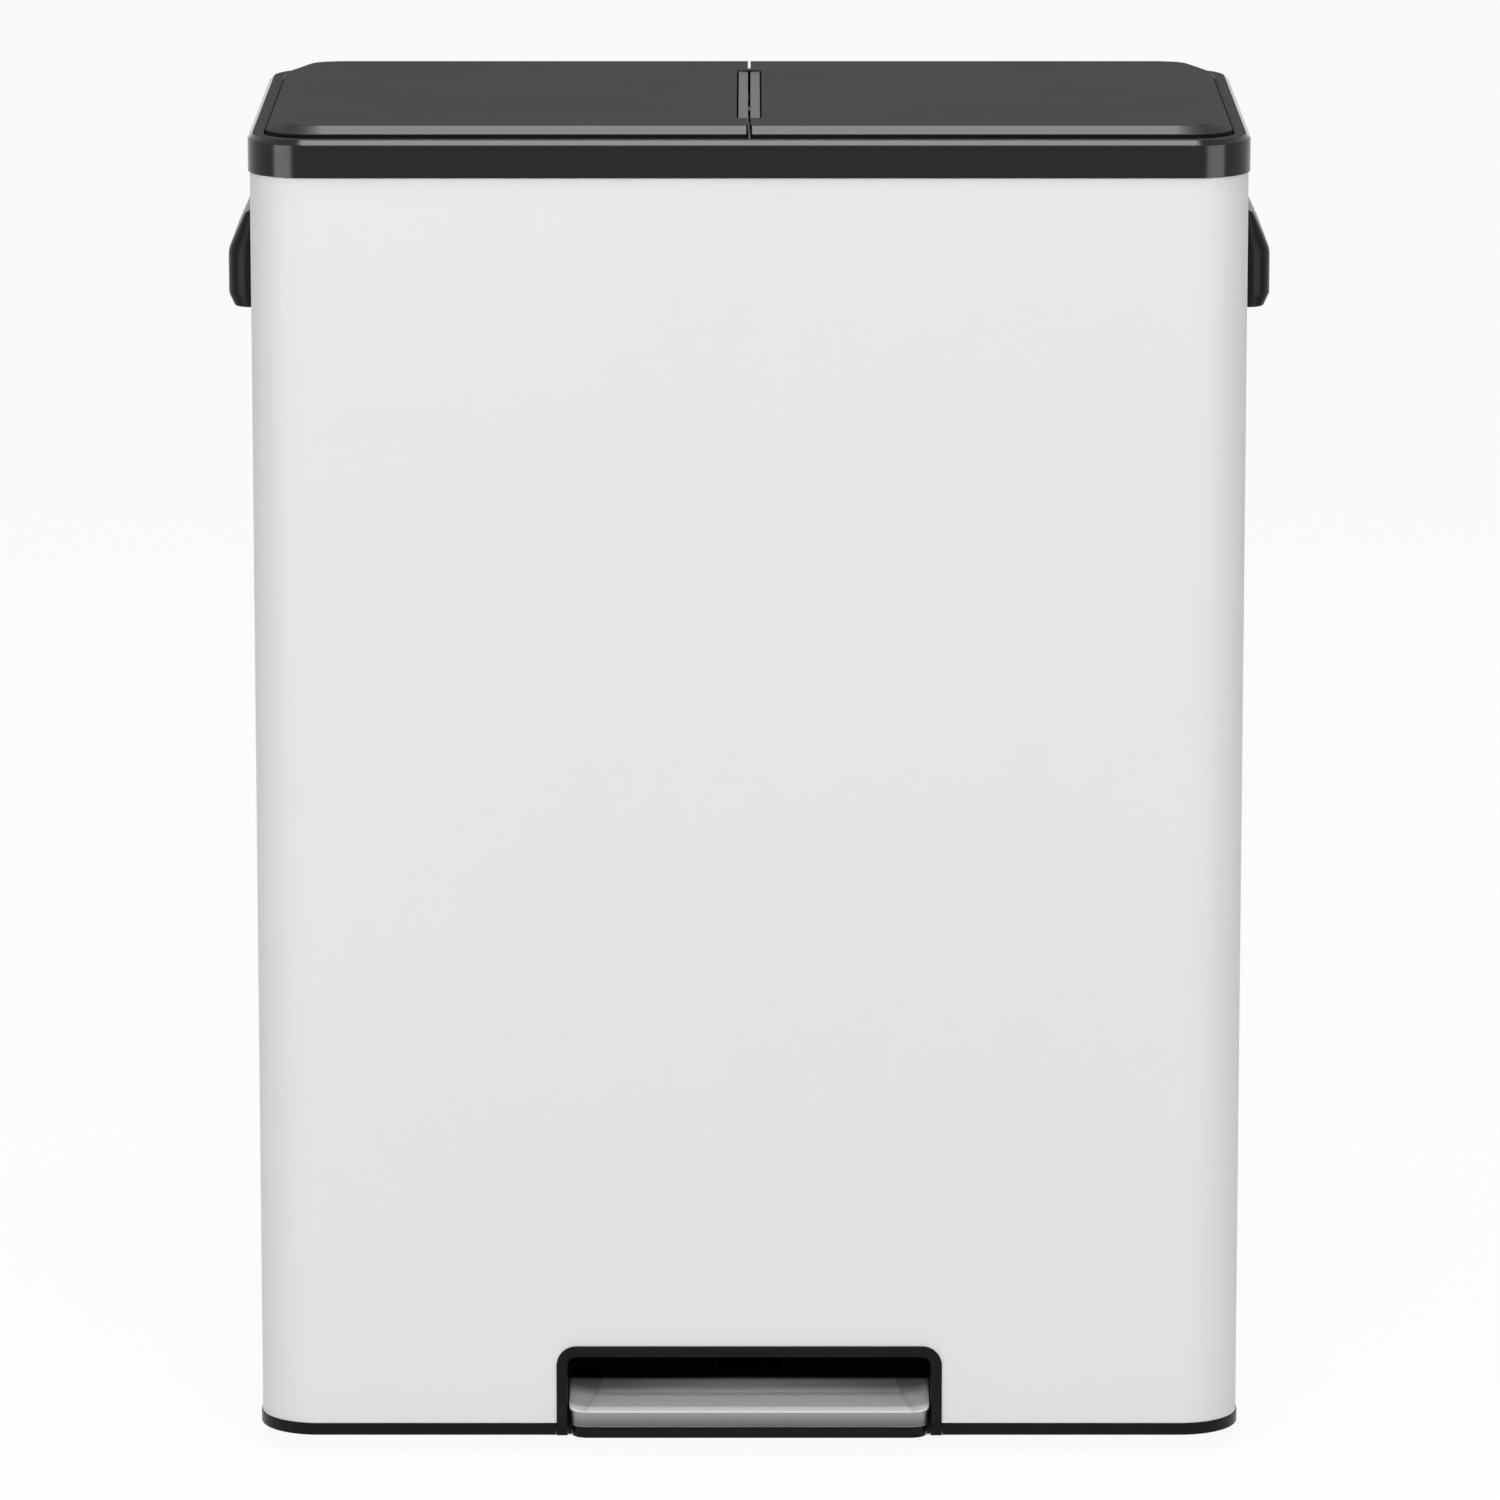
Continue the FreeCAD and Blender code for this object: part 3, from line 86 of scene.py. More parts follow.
RIM_LOW, RIM_HIGH = cad_box("top_rim")
LID_LOW, LID_HIGH = cad_box("lid_cover_left")
SHEET_LOW, SHEET_HIGH = cad_box("body_shell")
BAND_LOW, BAND_HIGH = cad_box("base_tray")
FRAME_LOW, FRAME_HIGH = cad_box("pedal_surround")
TREAD_LOW, TREAD_HIGH = cad_box("pedal_tread")
BUCKET_LOW, BUCKET_HIGH = cad_box("bucket_right")
HANDLE_LOW, HANDLE_HIGH = cad_box("side_handle_right")
FEET_LOW, FEET_HIGH = cad_box("rubber_feet")
PIN_LOW, PIN_HIGH = cad_box("hinge_pin_left")

# The tread's flat panel: half its width at the lip and at its back, and its depth.
PANEL_FRONT, PANEL_BACK, PANEL_DEPTH = 82.1, 76.5, 36.0
PANEL_TAPER = (PANEL_FRONT - PANEL_BACK) / PANEL_DEPTH
# The hinge lugs' middles, from the middle of the bin, and half their width.
LUG_PLACES, LUG_HALF = (24, 214), 3


class BinSizes(bpy.types.PropertyGroup):
    """Sizes that the model's boxes don't say."""
    corner_radius: length("Corner radius", "Upright corners of the rim, in plan", 30.0)
    rim_band: length("Rim band", "Width of the rim's top band round the lids", 8.0)
    rim_edge: length("Rim edge", "Slanted top outer edge of the rim", 2.4)
    rim_top: length("Rim top", "Height of the rim's top band above the floor", 660.0)
    ledge_top: length("Ledge top", "Height of the ledge that carries the buckets", 646.0)
    sheet_thickness: length("Sheet", "Thickness of the casing sheet", 0.9)
    lid_bevel: length("Lid bevel", "Width of the bevel on a lid's front and side", 11.0)
    lid_bevel_drop: length("Bevel drop", "Height of a lid's bevels", 3.2)
    grip_width: length("Finger step", "Width of the step along a lid's inner edge", 4.6)
    frame_width: length("Frame width", "Outside width of the pedal's frame", 192.2)
    frame_radius: length("Frame radius", "Outer corners of the pedal's frame", 10.0)
    frame_border: length("Frame border", "Visible width of the pedal's frame", 5.5)
    tread_corner: length("Tread corner", "Front corners of the pedal in plan", 9.0)
    panel_height: length("Panel height", "Height of the tread's flat panel above the floor", 22.6)
    border_front: length("Border at the lip", "Tread's raised border above its panel at the lip", 0.8)
    bucket_taper: length("Bucket taper", "How far each wall of a bucket leans in", 8.0)
    bucket_wall: length("Bucket wall", "Thickness of a bucket", 2.0)
    handle_round: length("Handle ends", "Rounding of a handle's ends in plan", 11.0)


class BinColours(bpy.types.PropertyGroup):
    """Colours of the bin's finishes."""
    coat: colour("White coat", "Powder coat on the casing", 224, 224, 223)
    black: colour("Black plastic", "Rim, base band, pedal frame and handles", 16, 16, 17)
    lid: colour("Lid plastic", "The two lids", 33, 33, 33)
    steel: colour("Brushed steel", "The pedal's tread", 248, 248, 246)
    zinc: colour("Zinc plate", "Lever, rods, pins, brackets and screws", 186, 188, 186)
    bucket: colour("Bucket plastic", "The two buckets", 96, 98, 100)
    nylon: colour("Nylon", "Bushes, pads and caps of the rods", 222, 218, 205)
    rubber: colour("Rubber", "Feet and bumpers", 24, 24, 24)


class Millimetres:
    """The size properties of a scene, read in millimetres."""

    def __init__(self, scene):
        self.sizes = scene.bin_sizes

    def __getattr__(self, name):
        return getattr(self.sizes, name) / MM


# -------- shapes in numpy

def round_corners(points, radii, steps=10):
    """A closed chain of points whose corners become arcs, each of `steps` points.
    At a corner p, a and b are the unit directions to its neighbours and t is the angle between them.
    The arc's centre is p + r / sin(t / 2) along the bisector m of a and b; its points are
    centre + r (sin w f - cos w m), with f across the bisector and w from -(pi - t) / 2 to (pi - t) / 2."""
    p = np.asarray(points, float)
    r = np.broadcast_to(np.asarray(radii, float), (len(p),))[:, None]
    a, b = np.roll(p, 1, 0) - p, np.roll(p, -1, 0) - p
    a /= np.maximum(np.linalg.norm(a, axis=1, keepdims=True), 1e-9)
    b /= np.maximum(np.linalg.norm(b, axis=1, keepdims=True), 1e-9)
    half = np.arccos(np.clip((a * b).sum(1, keepdims=True), -1, 1)) / 2
    m = (a + b) / np.maximum(np.linalg.norm(a + b, axis=1, keepdims=True), 1e-9)
    f = (b - a) / np.maximum(np.linalg.norm(b - a, axis=1, keepdims=True), 1e-9)
    centre = p + m * r / np.maximum(np.sin(half), 1e-9)
    w = np.linspace(-1, 1, steps)[None, :, None] * (math.pi / 2 - half)[:, :, None]
    arcs = centre[:, None] + r[:, None] * (np.sin(w) * f[:, None] - np.cos(w) * m[:, None])
    return arcs.reshape(-1, p.shape[1])


def plan(x0, x1, y0, y1, radii, steps=14):
    """A rectangle with rounded corners, anticlockwise from the corner (x0, y0)."""
    return round_corners([(x0, y0), (x1, y0), (x1, y1), (x0, y1)], radii, steps)


def casing_plan(sizes, inset, steps=20):
    """The rim's outline in plan, drawn in by `inset`: each side moves in and the radius shrinks as much."""
    radius = max(sizes.corner_radius - inset, 0.5)
    return plan(RIM_LOW[0] + inset, RIM_HIGH[0] - inset, RIM_LOW[1] + inset, RIM_HIGH[1] - inset,
                radius, steps)


def raised(flat, height, axis="Z"):
    """Flat points at a height along an axis. The two given numbers are x y, y z or x z."""
    level = np.broadcast_to(np.asarray(height, float), (len(flat),))
    columns = {"Z": (flat[:, 0], flat[:, 1], level), "X": (level, flat[:, 0], flat[:, 1]),
               "Y": (flat[:, 0], level, flat[:, 1])}[axis]
    return np.stack(columns, 1)


def skin(loops, around=True, closed=False, caps=True, gaps=()):
    """The surface point(i, j) = loops[i][j]: loop i is carried along the profile, j runs round it.
    Four neighbours make a face; `closed` joins the last loop to the first, `caps` closes both ends.
    `gaps` lists (first row, last row, first column, last column) of faces that are left out."""
    loops = np.asarray(loops, float)
    rows, columns = loops.shape[:2]
    i, j = np.indices((rows - (not closed), columns - (not around)))
    i2, j2 = (i + 1) % rows, (j + 1) % columns
    faces = np.stack([i * columns + j, i * columns + j2, i2 * columns + j2, i2 * columns + j], -1)
    kept = np.ones(i.shape, bool)
    for row0, row1, column0, column1 in gaps:
        kept[row0:row1 + 1, column0:column1 + 1] = False
    faces = faces[kept].tolist()
    if caps and not closed:
        faces += [list(range(columns))[::-1], list(range((rows - 1) * columns, rows * columns))]
    if caps and closed and not around:
        faces += [(np.arange(rows) * columns).tolist(), (np.arange(rows) * columns + columns - 1).tolist()]
    return loops.reshape(-1, 3), faces


def joined(*forms):
    """Several forms as one: each form's faces count on from the points before it."""
    points, faces, count = [], [], 0
    for some_points, some_faces in forms:
        points.append(some_points)
        faces += [[number + count for number in face] for face in some_faces]
        count += len(some_points)
    return np.concatenate(points), faces


def moved(form, offset):
    return form[0] + np.asarray(offset, float), form[1]


def mirrored(form):
    """The form on the other side of the bin: x changes sign and each face turns round."""
    return form[0] * (-1, 1, 1), [face[::-1] for face in form[1]]


def prism(flat, low, high, axis="Z"):
    """A flat outline carried straight along an axis."""
    return skin([raised(flat, low, axis), raised(flat, high, axis)])


def box(x0, x1, y0, y1, z0, z1):
    return prism(np.array([(x0, y0), (x1, y0), (x1, y1), (x0, y1)], float), z0, z1)


def turned(profile, centre, axis="Z", steps=40):
    """A profile of (radius, height) pairs carried round a circle about an axis through `centre`:
    the point at angle u is (r cos u, r sin u, h)."""
    profile = np.asarray(profile, float)
    u = np.arange(steps) * (2 * math.pi / steps)
    ring = np.stack([np.cos(u), np.sin(u)], 1)
    loops = [raised(ring * r, h, axis) for r, h in profile]
    return moved(skin(loops), centre)


def within(points, ring):
    """Which flat points lie in a closed ring: those whose ray towards +x crosses it an odd number
    of times."""
    x, y = points[:, :1], points[:, 1:]
    (x0, y0), (x1, y1) = ring.T, np.roll(ring, -1, 0).T
    level = (y0 > y) != (y1 > y)
    rise = np.where(y1 == y0, 1.0, y1 - y0)
    return (level & (x < x0 + (y - y0) * (x1 - x0) / rise)).sum(1) % 2 == 1


def plate(outer, holes, low, high, axis="Z"):
    """A flat plate with holes: both faces are a triangulation of the outlines' points without the
    triangles whose centre is in a hole or outside, and each outline carried from one face to the
    other makes a wall."""
    rings = [outer] + list(holes)
    keep = [ring[np.linalg.norm(ring - np.roll(ring, 1, 0), axis=1) > 1e-6] for ring in rings]
    starts = np.cumsum([0] + [len(ring) for ring in keep])
    edges = [(int(start + k), int(start + (k + 1) % len(ring)))
             for start, ring in zip(starts, keep) for k in range(len(ring))]
    points = [Vector(point) for ring in keep for point in ring.tolist()]
    found = delaunay_2d_cdt(points, edges, [], 0, 1e-6)
    flat, triangles = np.array([tuple(v) for v in found[0]]), np.array([list(face) for face in found[2]])
    centres = flat[triangles].mean(1)
    solid = within(centres, keep[0])
    for hole in keep[1:]:
        solid &= ~within(centres, hole)
    triangles = triangles[solid].tolist()
    sheets = [(raised(flat, high, axis), triangles), (raised(flat, low, axis), [t[::-1] for t in triangles])]
    walls = [skin([raised(ring, low, axis), raised(ring, high, axis)], caps=False) for ring in keep]
    return joined(*sheets, *walls)


# -------- pieces from shapes

def new_piece(name, form, body, nodes, finish, bevel=0.0, sharp=25.0, wall=0.0):
    """Puts a form into a mesh, closes its seams, turns its faces outward, gives a single skin its `wall`,
    rounds edges sharper than `sharp` degrees by `bevel` millimetres, hands the piece to its body and hides
    the nodes it stands for."""
    points, faces = form
    mesh = bpy.data.meshes.new(name)
    mesh.from_pydata((points * MM).tolist(), [], faces)
    work = bmesh.new()
    work.from_mesh(mesh)
    bmesh.ops.remove_doubles(work, verts=work.verts, dist=2e-6)
    bmesh.ops.dissolve_degenerate(work, edges=work.edges, dist=1e-6)
    bmesh.ops.recalc_face_normals(work, faces=work.faces)
    work.to_mesh(mesh)
    work.free()
    mesh.shade_smooth()
    mesh.materials.append(FINISHES[finish])
    piece = bpy.data.objects.new(name, mesh)
    bpy.context.scene.collection.objects.link(piece)
    if wall:
        solid = piece.modifiers.new("Wall", "SOLIDIFY")
        solid.thickness, solid.offset = wall * MM, -1.0
    if bevel:
        rounding = piece.modifiers.new("Rounding", "BEVEL")
        rounding.width, rounding.segments = bevel * MM, 3
        rounding.limit_method, rounding.angle_limit = "ANGLE", math.radians(sharp)
        rounding.use_clamp_overlap = True
    flow = piece.modifiers.new("Flat faces", "WEIGHTED_NORMAL")
    flow.weight = 90
    flow.keep_sharp = False
    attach(piece, body)
    if nodes:
        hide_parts(*nodes)


def dress(node, finish):
    """A node whose shape is right keeps its mesh and takes a finish."""
    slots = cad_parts[node].data.materials
    slots.clear()
    slots.append(FINISHES[finish])


# -------- finishes

def add(tree, kind, inputs=None, **settings):
    """A node with its settings; an input that is a socket is linked, any other value is set."""
    new = tree.nodes.new(kind)
    for name, value in settings.items():
        setattr(new, name, value)
    for name, value in (inputs or {}).items():
        if isinstance(value, bpy.types.NodeSocket):
            tree.links.new(value, new.inputs[name])
        else:
            new.inputs[name].default_value = value
    return new


def feed(tree, node, sources):
    """Links sockets to a node's inputs by their names."""
    for name, source in sources.items():
        tree.links.new(source, node.inputs[name])


def maths(tree, operation, first, second=0.0, clamp=False):
    return add(tree, "ShaderNodeMath", {0: first, 1: second}, operation=operation, use_clamp=clamp).outputs[0]


def noise(tree, place, scale, detail, roughness=0.5):
    """Noise between 0 and 1; detail is its number of finer layers, and roughness how much they show."""
    inputs = {"Vector": place, "Scale": scale, "Detail": detail, "Roughness": roughness}
    return add(tree, "ShaderNodeTexNoise", inputs).outputs["Fac"]


def new_group(name, inputs, outputs):
    """A node group with named sockets. Inputs are (name, kind, default), outputs (name, kind)."""
    tree = bpy.data.node_groups.new(name, "ShaderNodeTree")
    for label, kind, default in inputs:
        socket = tree.interface.new_socket(name=label, in_out="INPUT", socket_type="NodeSocket" + kind)
        if default is not None:
            socket.default_value = default
    for label, kind in outputs:
        tree.interface.new_socket(name=label, in_out="OUTPUT", socket_type="NodeSocket" + kind)
    return tree, tree.nodes.new("NodeGroupInput").outputs, tree.nodes.new("NodeGroupOutput")


def moulded_grain_group():
    """Fine pebbled texture with slow changes of gloss: height is noise at a small scale, and
    roughness is the middle value plus noise at a large scale times the spread."""
    tree, given, result = new_group(
        "Moulded grain",
        [("Vector", "Vector", None), ("Grain scale", "Float", 1800.0), ("Patch scale", "Float", 9.0),
         ("Roughness", "Float", 0.4), ("Spread", "Float", 0.06)],
        [("Roughness", "Float"), ("Height", "Float"), ("Patch", "Float")])
    grain = noise(tree, given["Vector"], given["Grain scale"], 2.0, 0.6)
    patch = noise(tree, given["Vector"], given["Patch scale"], 4.0, 0.55)
    centred = maths(tree, "SUBTRACT", patch, 0.5)
    gloss = maths(tree, "MULTIPLY", maths(tree, "MULTIPLY", centred, given["Spread"]), 2.0)
    feed(tree, result, {"Roughness": maths(tree, "ADD", gloss, given["Roughness"]),
                        "Height": grain, "Patch": patch})


def edge_wear_group():
    """Where the surface turns: one minus the dot product of the plain normal and the normal
    averaged over a small radius, raised by the amount and broken up by noise."""
    tree, given, result = new_group(
        "Edge wear",
        [("Vector", "Vector", None), ("Radius", "Float", 0.0012), ("Amount", "Float", 3.0),
         ("Break-up scale", "Float", 60.0)],
        [("Mask", "Float")])
    soft = add(tree, "ShaderNodeBevel", {"Radius": given["Radius"]}, samples=4)
    plain = add(tree, "ShaderNodeNewGeometry")
    facing = add(tree, "ShaderNodeVectorMath", {0: soft.outputs["Normal"], 1: plain.outputs["True Normal"]},
                 operation="DOT_PRODUCT")
    bend = maths(tree, "SUBTRACT", 1.0, facing.outputs["Value"])
    turn = maths(tree, "MULTIPLY", bend, given["Amount"], True)
    patches = noise(tree, given["Vector"], given["Break-up scale"], 3.0)
    feed(tree, result, {"Mask": maths(tree, "MULTIPLY", turn, patches, True)})


def brushed_lines_group():
    """Fine straight scratches along x: noise on coordinates that are squeezed along x and
    stretched across it, so that each grain of noise becomes a long streak."""
    tree, given, result = new_group(
        "Brushed lines",
        [("Vector", "Vector", None), ("Line scale", "Float", 900.0), ("Roughness", "Float", 0.3),
         ("Spread", "Float", 0.12)],
        [("Roughness", "Float"), ("Height", "Float"), ("Shade", "Float")])
    mapping = {"Vector": given["Vector"], "Scale": (0.012, 1.0, 1.0)}
    squeezed = add(tree, "ShaderNodeMapping", mapping).outputs[0]
    fine = noise(tree, squeezed, given["Line scale"], 5.0, 0.7)
    broad = noise(tree, squeezed, maths(tree, "MULTIPLY", given["Line scale"], 0.22), 3.0, 0.6)
    streaks = spread_between(tree, 0.45, fine, broad)
    gloss = maths(tree, "MULTIPLY", maths(tree, "SUBTRACT", streaks, 0.5), given["Spread"])
    feed(tree, result, {"Roughness": maths(tree, "ADD", gloss, given["Roughness"]),
                        "Height": fine, "Shade": streaks})


def object_zone_group():
    """A box in a piece's own coordinates: one inside and nought outside. Each axis gives the distance to
    the nearer side over its softness, and the least of the three, held between 0 and 1, is the mask."""
    tree, given, result = new_group(
        "Object zone",
        [("Vector", "Vector", None), ("Low", "Vector", (-1, -1, -1)), ("High", "Vector", (1, 1, 1)),
         ("Softness", "Vector", (0.001, 0.001, 0.001))],
        [("Mask", "Float")])

    def across(operation, first, second):
        return add(tree, "ShaderNodeVectorMath", {0: first, 1: second}, operation=operation).outputs[0]

    nearer = across("MINIMUM", across("SUBTRACT", given["Vector"], given["Low"]),
                    across("SUBTRACT", given["High"], given["Vector"]))
    axes = add(tree, "ShaderNodeSeparateXYZ", {0: across("DIVIDE", nearer, given["Softness"])}).outputs
    least = maths(tree, "MINIMUM", maths(tree, "MINIMUM", axes[0], axes[1]), axes[2])
    feed(tree, result, {"Mask": maths(tree, "ADD", least, 0.0, True)})


def grouped(tree, name, inputs):
    """A node group with its inputs linked or set."""
    return add(tree, "ShaderNodeGroup", inputs, node_tree=bpy.data.node_groups[name])


def zone(tree, place, low, high, softness):
    """The mask of a box given in millimetres."""
    low, high, softness = [[number * MM for number in corner] for corner in (low, high, softness)]
    inputs = {"Vector": place, "Low": low, "High": high, "Softness": softness}
    return grouped(tree, "Object zone", inputs).outputs["Mask"]


def spread_between(tree, mask, low, high):
    """A number between two, by a mask; either may be a socket."""
    return add(tree, "ShaderNodeMix", {0: mask, 2: low, 3: high}, data_type="FLOAT").outputs[0]


def new_material(name, base, specular=0.5, metallic=0.0):
    material = bpy.data.materials.new(name)
    material.use_nodes = True
    tree = material.node_tree
    tree.nodes.clear()
    shader = add(tree, "ShaderNodeBsdfPrincipled",
                 {"Base Color": (*base, 1.0), "Specular IOR Level": specular, "Metallic": metallic})
    add(tree, "ShaderNodeOutputMaterial", {"Surface": shader.outputs[0]}, target="ALL")
    place = add(tree, "ShaderNodeTexCoord").outputs["Object"]
    return material, tree, shader, place


def blended(tree, mask, low, high):
    """A colour between two, by a mask; either may be a socket."""
    ends = [end if isinstance(end, bpy.types.NodeSocket) else (*end, 1.0) for end in (low, high)]
    return add(tree, "ShaderNodeMix", {0: mask, 6: ends[0], 7: ends[1]}, data_type="RGBA").outputs[2]


def plastic(name, base, roughness, spread=0.06, grain=1800.0, bump=0.00002, specular=0.5, worn=0.35,
            tone=0.12):
    """Moulded plastic: pebbled, slightly uneven in gloss and tone, a little paler along its edges."""
    material, tree, shader, place = new_material(name, base, specular)
    surface = grouped(tree, "Moulded grain", {"Vector": place, "Grain scale": grain,
                                              "Roughness": roughness, "Spread": spread})
    edges = grouped(tree, "Edge wear", {"Vector": place})
    base = np.array(base)
    body = blended(tree, surface.outputs["Patch"], base * (1 - tone), base * (1 + tone))
    pale = np.minimum(base * (1 + worn) + 0.012 * worn, 1.0)
    bumps = add(tree, "ShaderNodeBump",
                {"Height": surface.outputs["Height"], "Distance": bump, "Strength": 1.0})
    feed(tree, shader, {"Base Color": blended(tree, edges.outputs["Mask"], body, pale),
                        "Roughness": surface.outputs["Roughness"], "Normal": bumps.outputs[0]})
    return material


def opened(material):
    """A plastic's node tree, its shader, its coordinates, and what feeds its roughness and its colour."""
    tree = material.node_tree
    shader = next(node for node in tree.nodes if node.type == "BSDF_PRINCIPLED")
    place = next(node for node in tree.nodes if node.type == "TEX_COORD").outputs["Object"]
    rough, tone = [shader.inputs[name].links[0].from_socket for name in ("Roughness", "Base Color")]
    return tree, shader, place, rough, tone


def rim_plastic(name, base):
    """The rim's plastic: satin on its sides, smoother on its slanted edge, textured on its flat top."""
    material = plastic(name, base, 0.17, spread=0.03, specular=0.27)
    tree, shader, place, rough, _ = opened(material)
    top = bpy.context.scene.bin_sizes.rim_top / MM
    flat = zone(tree, place, (-300, -200, top - 0.15), (300, 200, top + 9), (1, 1, 0.1))
    slant = zone(tree, place, (-300, -200, top - 2.2), (300, 200, top - 0.05), (1, 1, 0.2))
    satin = spread_between(tree, slant, rough, 0.14)
    feed(tree, shader, {"Roughness": spread_between(tree, flat, satin, 0.9)})
    return material


def lid_plastic(name, base):
    """The lids' plastic: matt on top, smoother on the front bevel and the finger steps, and painted nearly
    black below the bevels and in the split through the front bevel, as painted shade."""
    material = plastic(name, base, 0.9, grain=1500.0, bump=0.00003, specular=0.2, worn=0.3)
    tree, shader, place, rough, tone = opened(material)
    sizes = Millimetres(bpy.context.scene)
    top, turn, slant_end = LID_HIGH[2], LID_HIGH[2] - sizes.lid_bevel_drop, LID_LOW[1] + sizes.lid_bevel
    bevel = zone(tree, place, (-222, -200, turn), (222, slant_end + 0.2, top - 0.15), (14, 0.3, 0.15))
    steps = zone(tree, place, (-5.4, -95, turn), (5.4, 95, top - 0.25), (0.2, 0.5, 0.1))
    # Painted shade: below the bevels and in the split through the front bevel the base colour goes nearly
    # black.
    under = maths(tree, "MAXIMUM", zone(tree, place, (-300, -200, 0), (300, 200, turn), (1, 1, 0.1)),
                  zone(tree, place, (-1.7, -200, 0), (1.7, slant_end + 0.3, top + 1), (0.1, 0.1, 0.1)))
    smooth = maths(tree, "MAXIMUM", bevel, steps)
    satin = spread_between(tree, steps, 0.34, 0.48)
    feed(tree, shader, {"Roughness": spread_between(tree, smooth, rough, satin),
                        "Base Color": blended(tree, under, tone, (0.002, 0.002, 0.002))})
    return material


def powder_coat(name, base):
    """White powder coat: a fine orange-peel skin over an even colour."""
    return plastic(name, base, 0.42, spread=0.05, grain=420.0, bump=0.00003, specular=0.2, worn=0.05,
                   tone=0.008)


def brushed_steel(name, base):
    """Brushed steel with lines from side to side and edges polished by use: a pale satin panel; its raised
    border and the crease beside the panel darkened as painted shade; and a lip painted darker, and darker
    still towards its bottom edge, as painted shade."""
    material, tree, shader, place = new_material(name, base, 0.5, metallic=1.0)
    panel_z = bpy.context.scene.bin_sizes.panel_height / MM
    # Painted shade: the lip below the panel takes a darker base colour, which darkens further towards its
    # bottom edge.
    lip = zone(tree, place, (-300, -300, 0), (300, 300, panel_z - 0.2), (1, 1, 0.3))
    painted_shade_fall = zone(tree, place, (-300, -300, 0), (300, 300, panel_z), (1, 1, 8.0))
    lines = grouped(tree, "Brushed lines", {"Vector": place, "Roughness": 0.5})
    edges = grouped(tree, "Edge wear", {"Vector": place, "Radius": 0.0008})
    base, tone = np.array(base), 1.0
    # Painted shade: the border's sides, the creases beside the panel and the border's back darken the base
    # colour.
    for mask, depth in zip(tread_painted_shade_masks(tree, place), (0.16, 0.22, 0.3)):
        tone = maths(tree, "SUBTRACT", tone, maths(tree, "MULTIPLY", mask, depth))
    streaks = blended(tree, lines.outputs["Shade"], base * 0.93, np.minimum(base * 1.05, 1.0))
    shade = add(tree, "ShaderNodeVectorMath", {0: streaks, "Scale": tone}, operation="SCALE").outputs[0]
    # The lip's painted shade: 0.36 of the steel's colour near the panel, down to 0.12 at the bottom edge.
    painted_shade_lip = blended(tree, painted_shade_fall, base * 0.36, base * 0.12)
    body = blended(tree, lip, shade, painted_shade_lip)
    bumps = add(tree, "ShaderNodeBump",
                {"Height": lines.outputs["Height"], "Distance": 0.00003, "Strength": 0.6})
    feed(tree, shader, {"Metallic": spread_between(tree, lip, 0.1, 1.0),
                        "Base Color": blended(tree, edges.outputs["Mask"], body, (0.88, 0.88, 0.87)),
                        "Roughness": spread_between(tree, lip, lines.outputs["Roughness"], 0.3),
                        "Normal": bumps.outputs[0]})
    return material


def tread_painted_shade_masks(tree, place):
    """Three masks of painted shade on the tread's raised border: its sides, the creases beside the panel, and
    its back.
    The crease runs along |x| + taper (y - front) = half the panel's width at the lip. The first two
    masks grow from it over 1.5 and 1.6 mm, and the third from the panel's back over 10 mm."""
    front = TREAD_LOW[1]
    axes = add(tree, "ShaderNodeSeparateXYZ", {0: place}).outputs
    along = maths(tree, "MULTIPLY", maths(tree, "SUBTRACT", axes[1], front * MM), PANEL_TAPER)
    reach = maths(tree, "ADD", maths(tree, "ABSOLUTE", axes[0]), along)
    past = maths(tree, "SUBTRACT", reach, PANEL_FRONT * MM)
    side = maths(tree, "DIVIDE", past, 0.0015, True)
    nearness = maths(tree, "DIVIDE", maths(tree, "ABSOLUTE", past), 0.0016)
    crease = maths(tree, "SUBTRACT", 1.0, nearness, True)
    behind = maths(tree, "SUBTRACT", axes[1], (front + PANEL_DEPTH) * MM)
    back = maths(tree, "DIVIDE", behind, 0.010, True)
    return side, crease, back


def zinc_plate(name, base):
    """Plated steel: soft cloudy spangle in tone and gloss."""
    material, tree, shader, place = new_material(name, base, 0.5, metallic=1.0)
    surface = grouped(tree, "Moulded grain", {"Vector": place, "Grain scale": 700.0, "Patch scale": 90.0,
                                              "Roughness": 0.38, "Spread": 0.12})
    base = np.array(base)
    shade = blended(tree, surface.outputs["Patch"], base * 0.8, np.minimum(base * 1.15, 1.0))
    bumps = add(tree, "ShaderNodeBump", {"Height": surface.outputs["Height"], "Distance": 0.00001})
    feed(tree, shader, {"Base Color": shade, "Roughness": surface.outputs["Roughness"],
                        "Normal": bumps.outputs[0]})
    return material


FINISHES = {}


class BIN_OT_finishes(bpy.types.Operator):
    """Make the node groups and the materials of every finish"""
    bl_idname = "bin.finishes"
    bl_label = "Finishes"

    def execute(self, context):
        shades = context.scene.bin_colours
        moulded_grain_group()
        edge_wear_group()
        brushed_lines_group()
        object_zone_group()
        FINISHES.update(
            coat=powder_coat("White powder coat", shades.coat),
            black=plastic("Black plastic", shades.black, 0.3, specular=0.12, worn=0.2),
            rim=rim_plastic("Rim plastic", shades.black),
            lid=lid_plastic("Dark lid plastic", shades.lid),
            steel=brushed_steel("Brushed steel", shades.steel),
            zinc=zinc_plate("Zinc plate", shades.zinc),
            bucket=plastic("Bucket plastic", shades.bucket, 0.45, specular=0.4, worn=0.15),
            nylon=plastic("Nylon", shades.nylon, 0.45, specular=0.4, worn=0.05),
            rubber=plastic("Rubber", shades.rubber, 0.75, grain=1200.0, specular=0.25, worn=0.2))
        return {"FINISHED"}


# -------- pieces

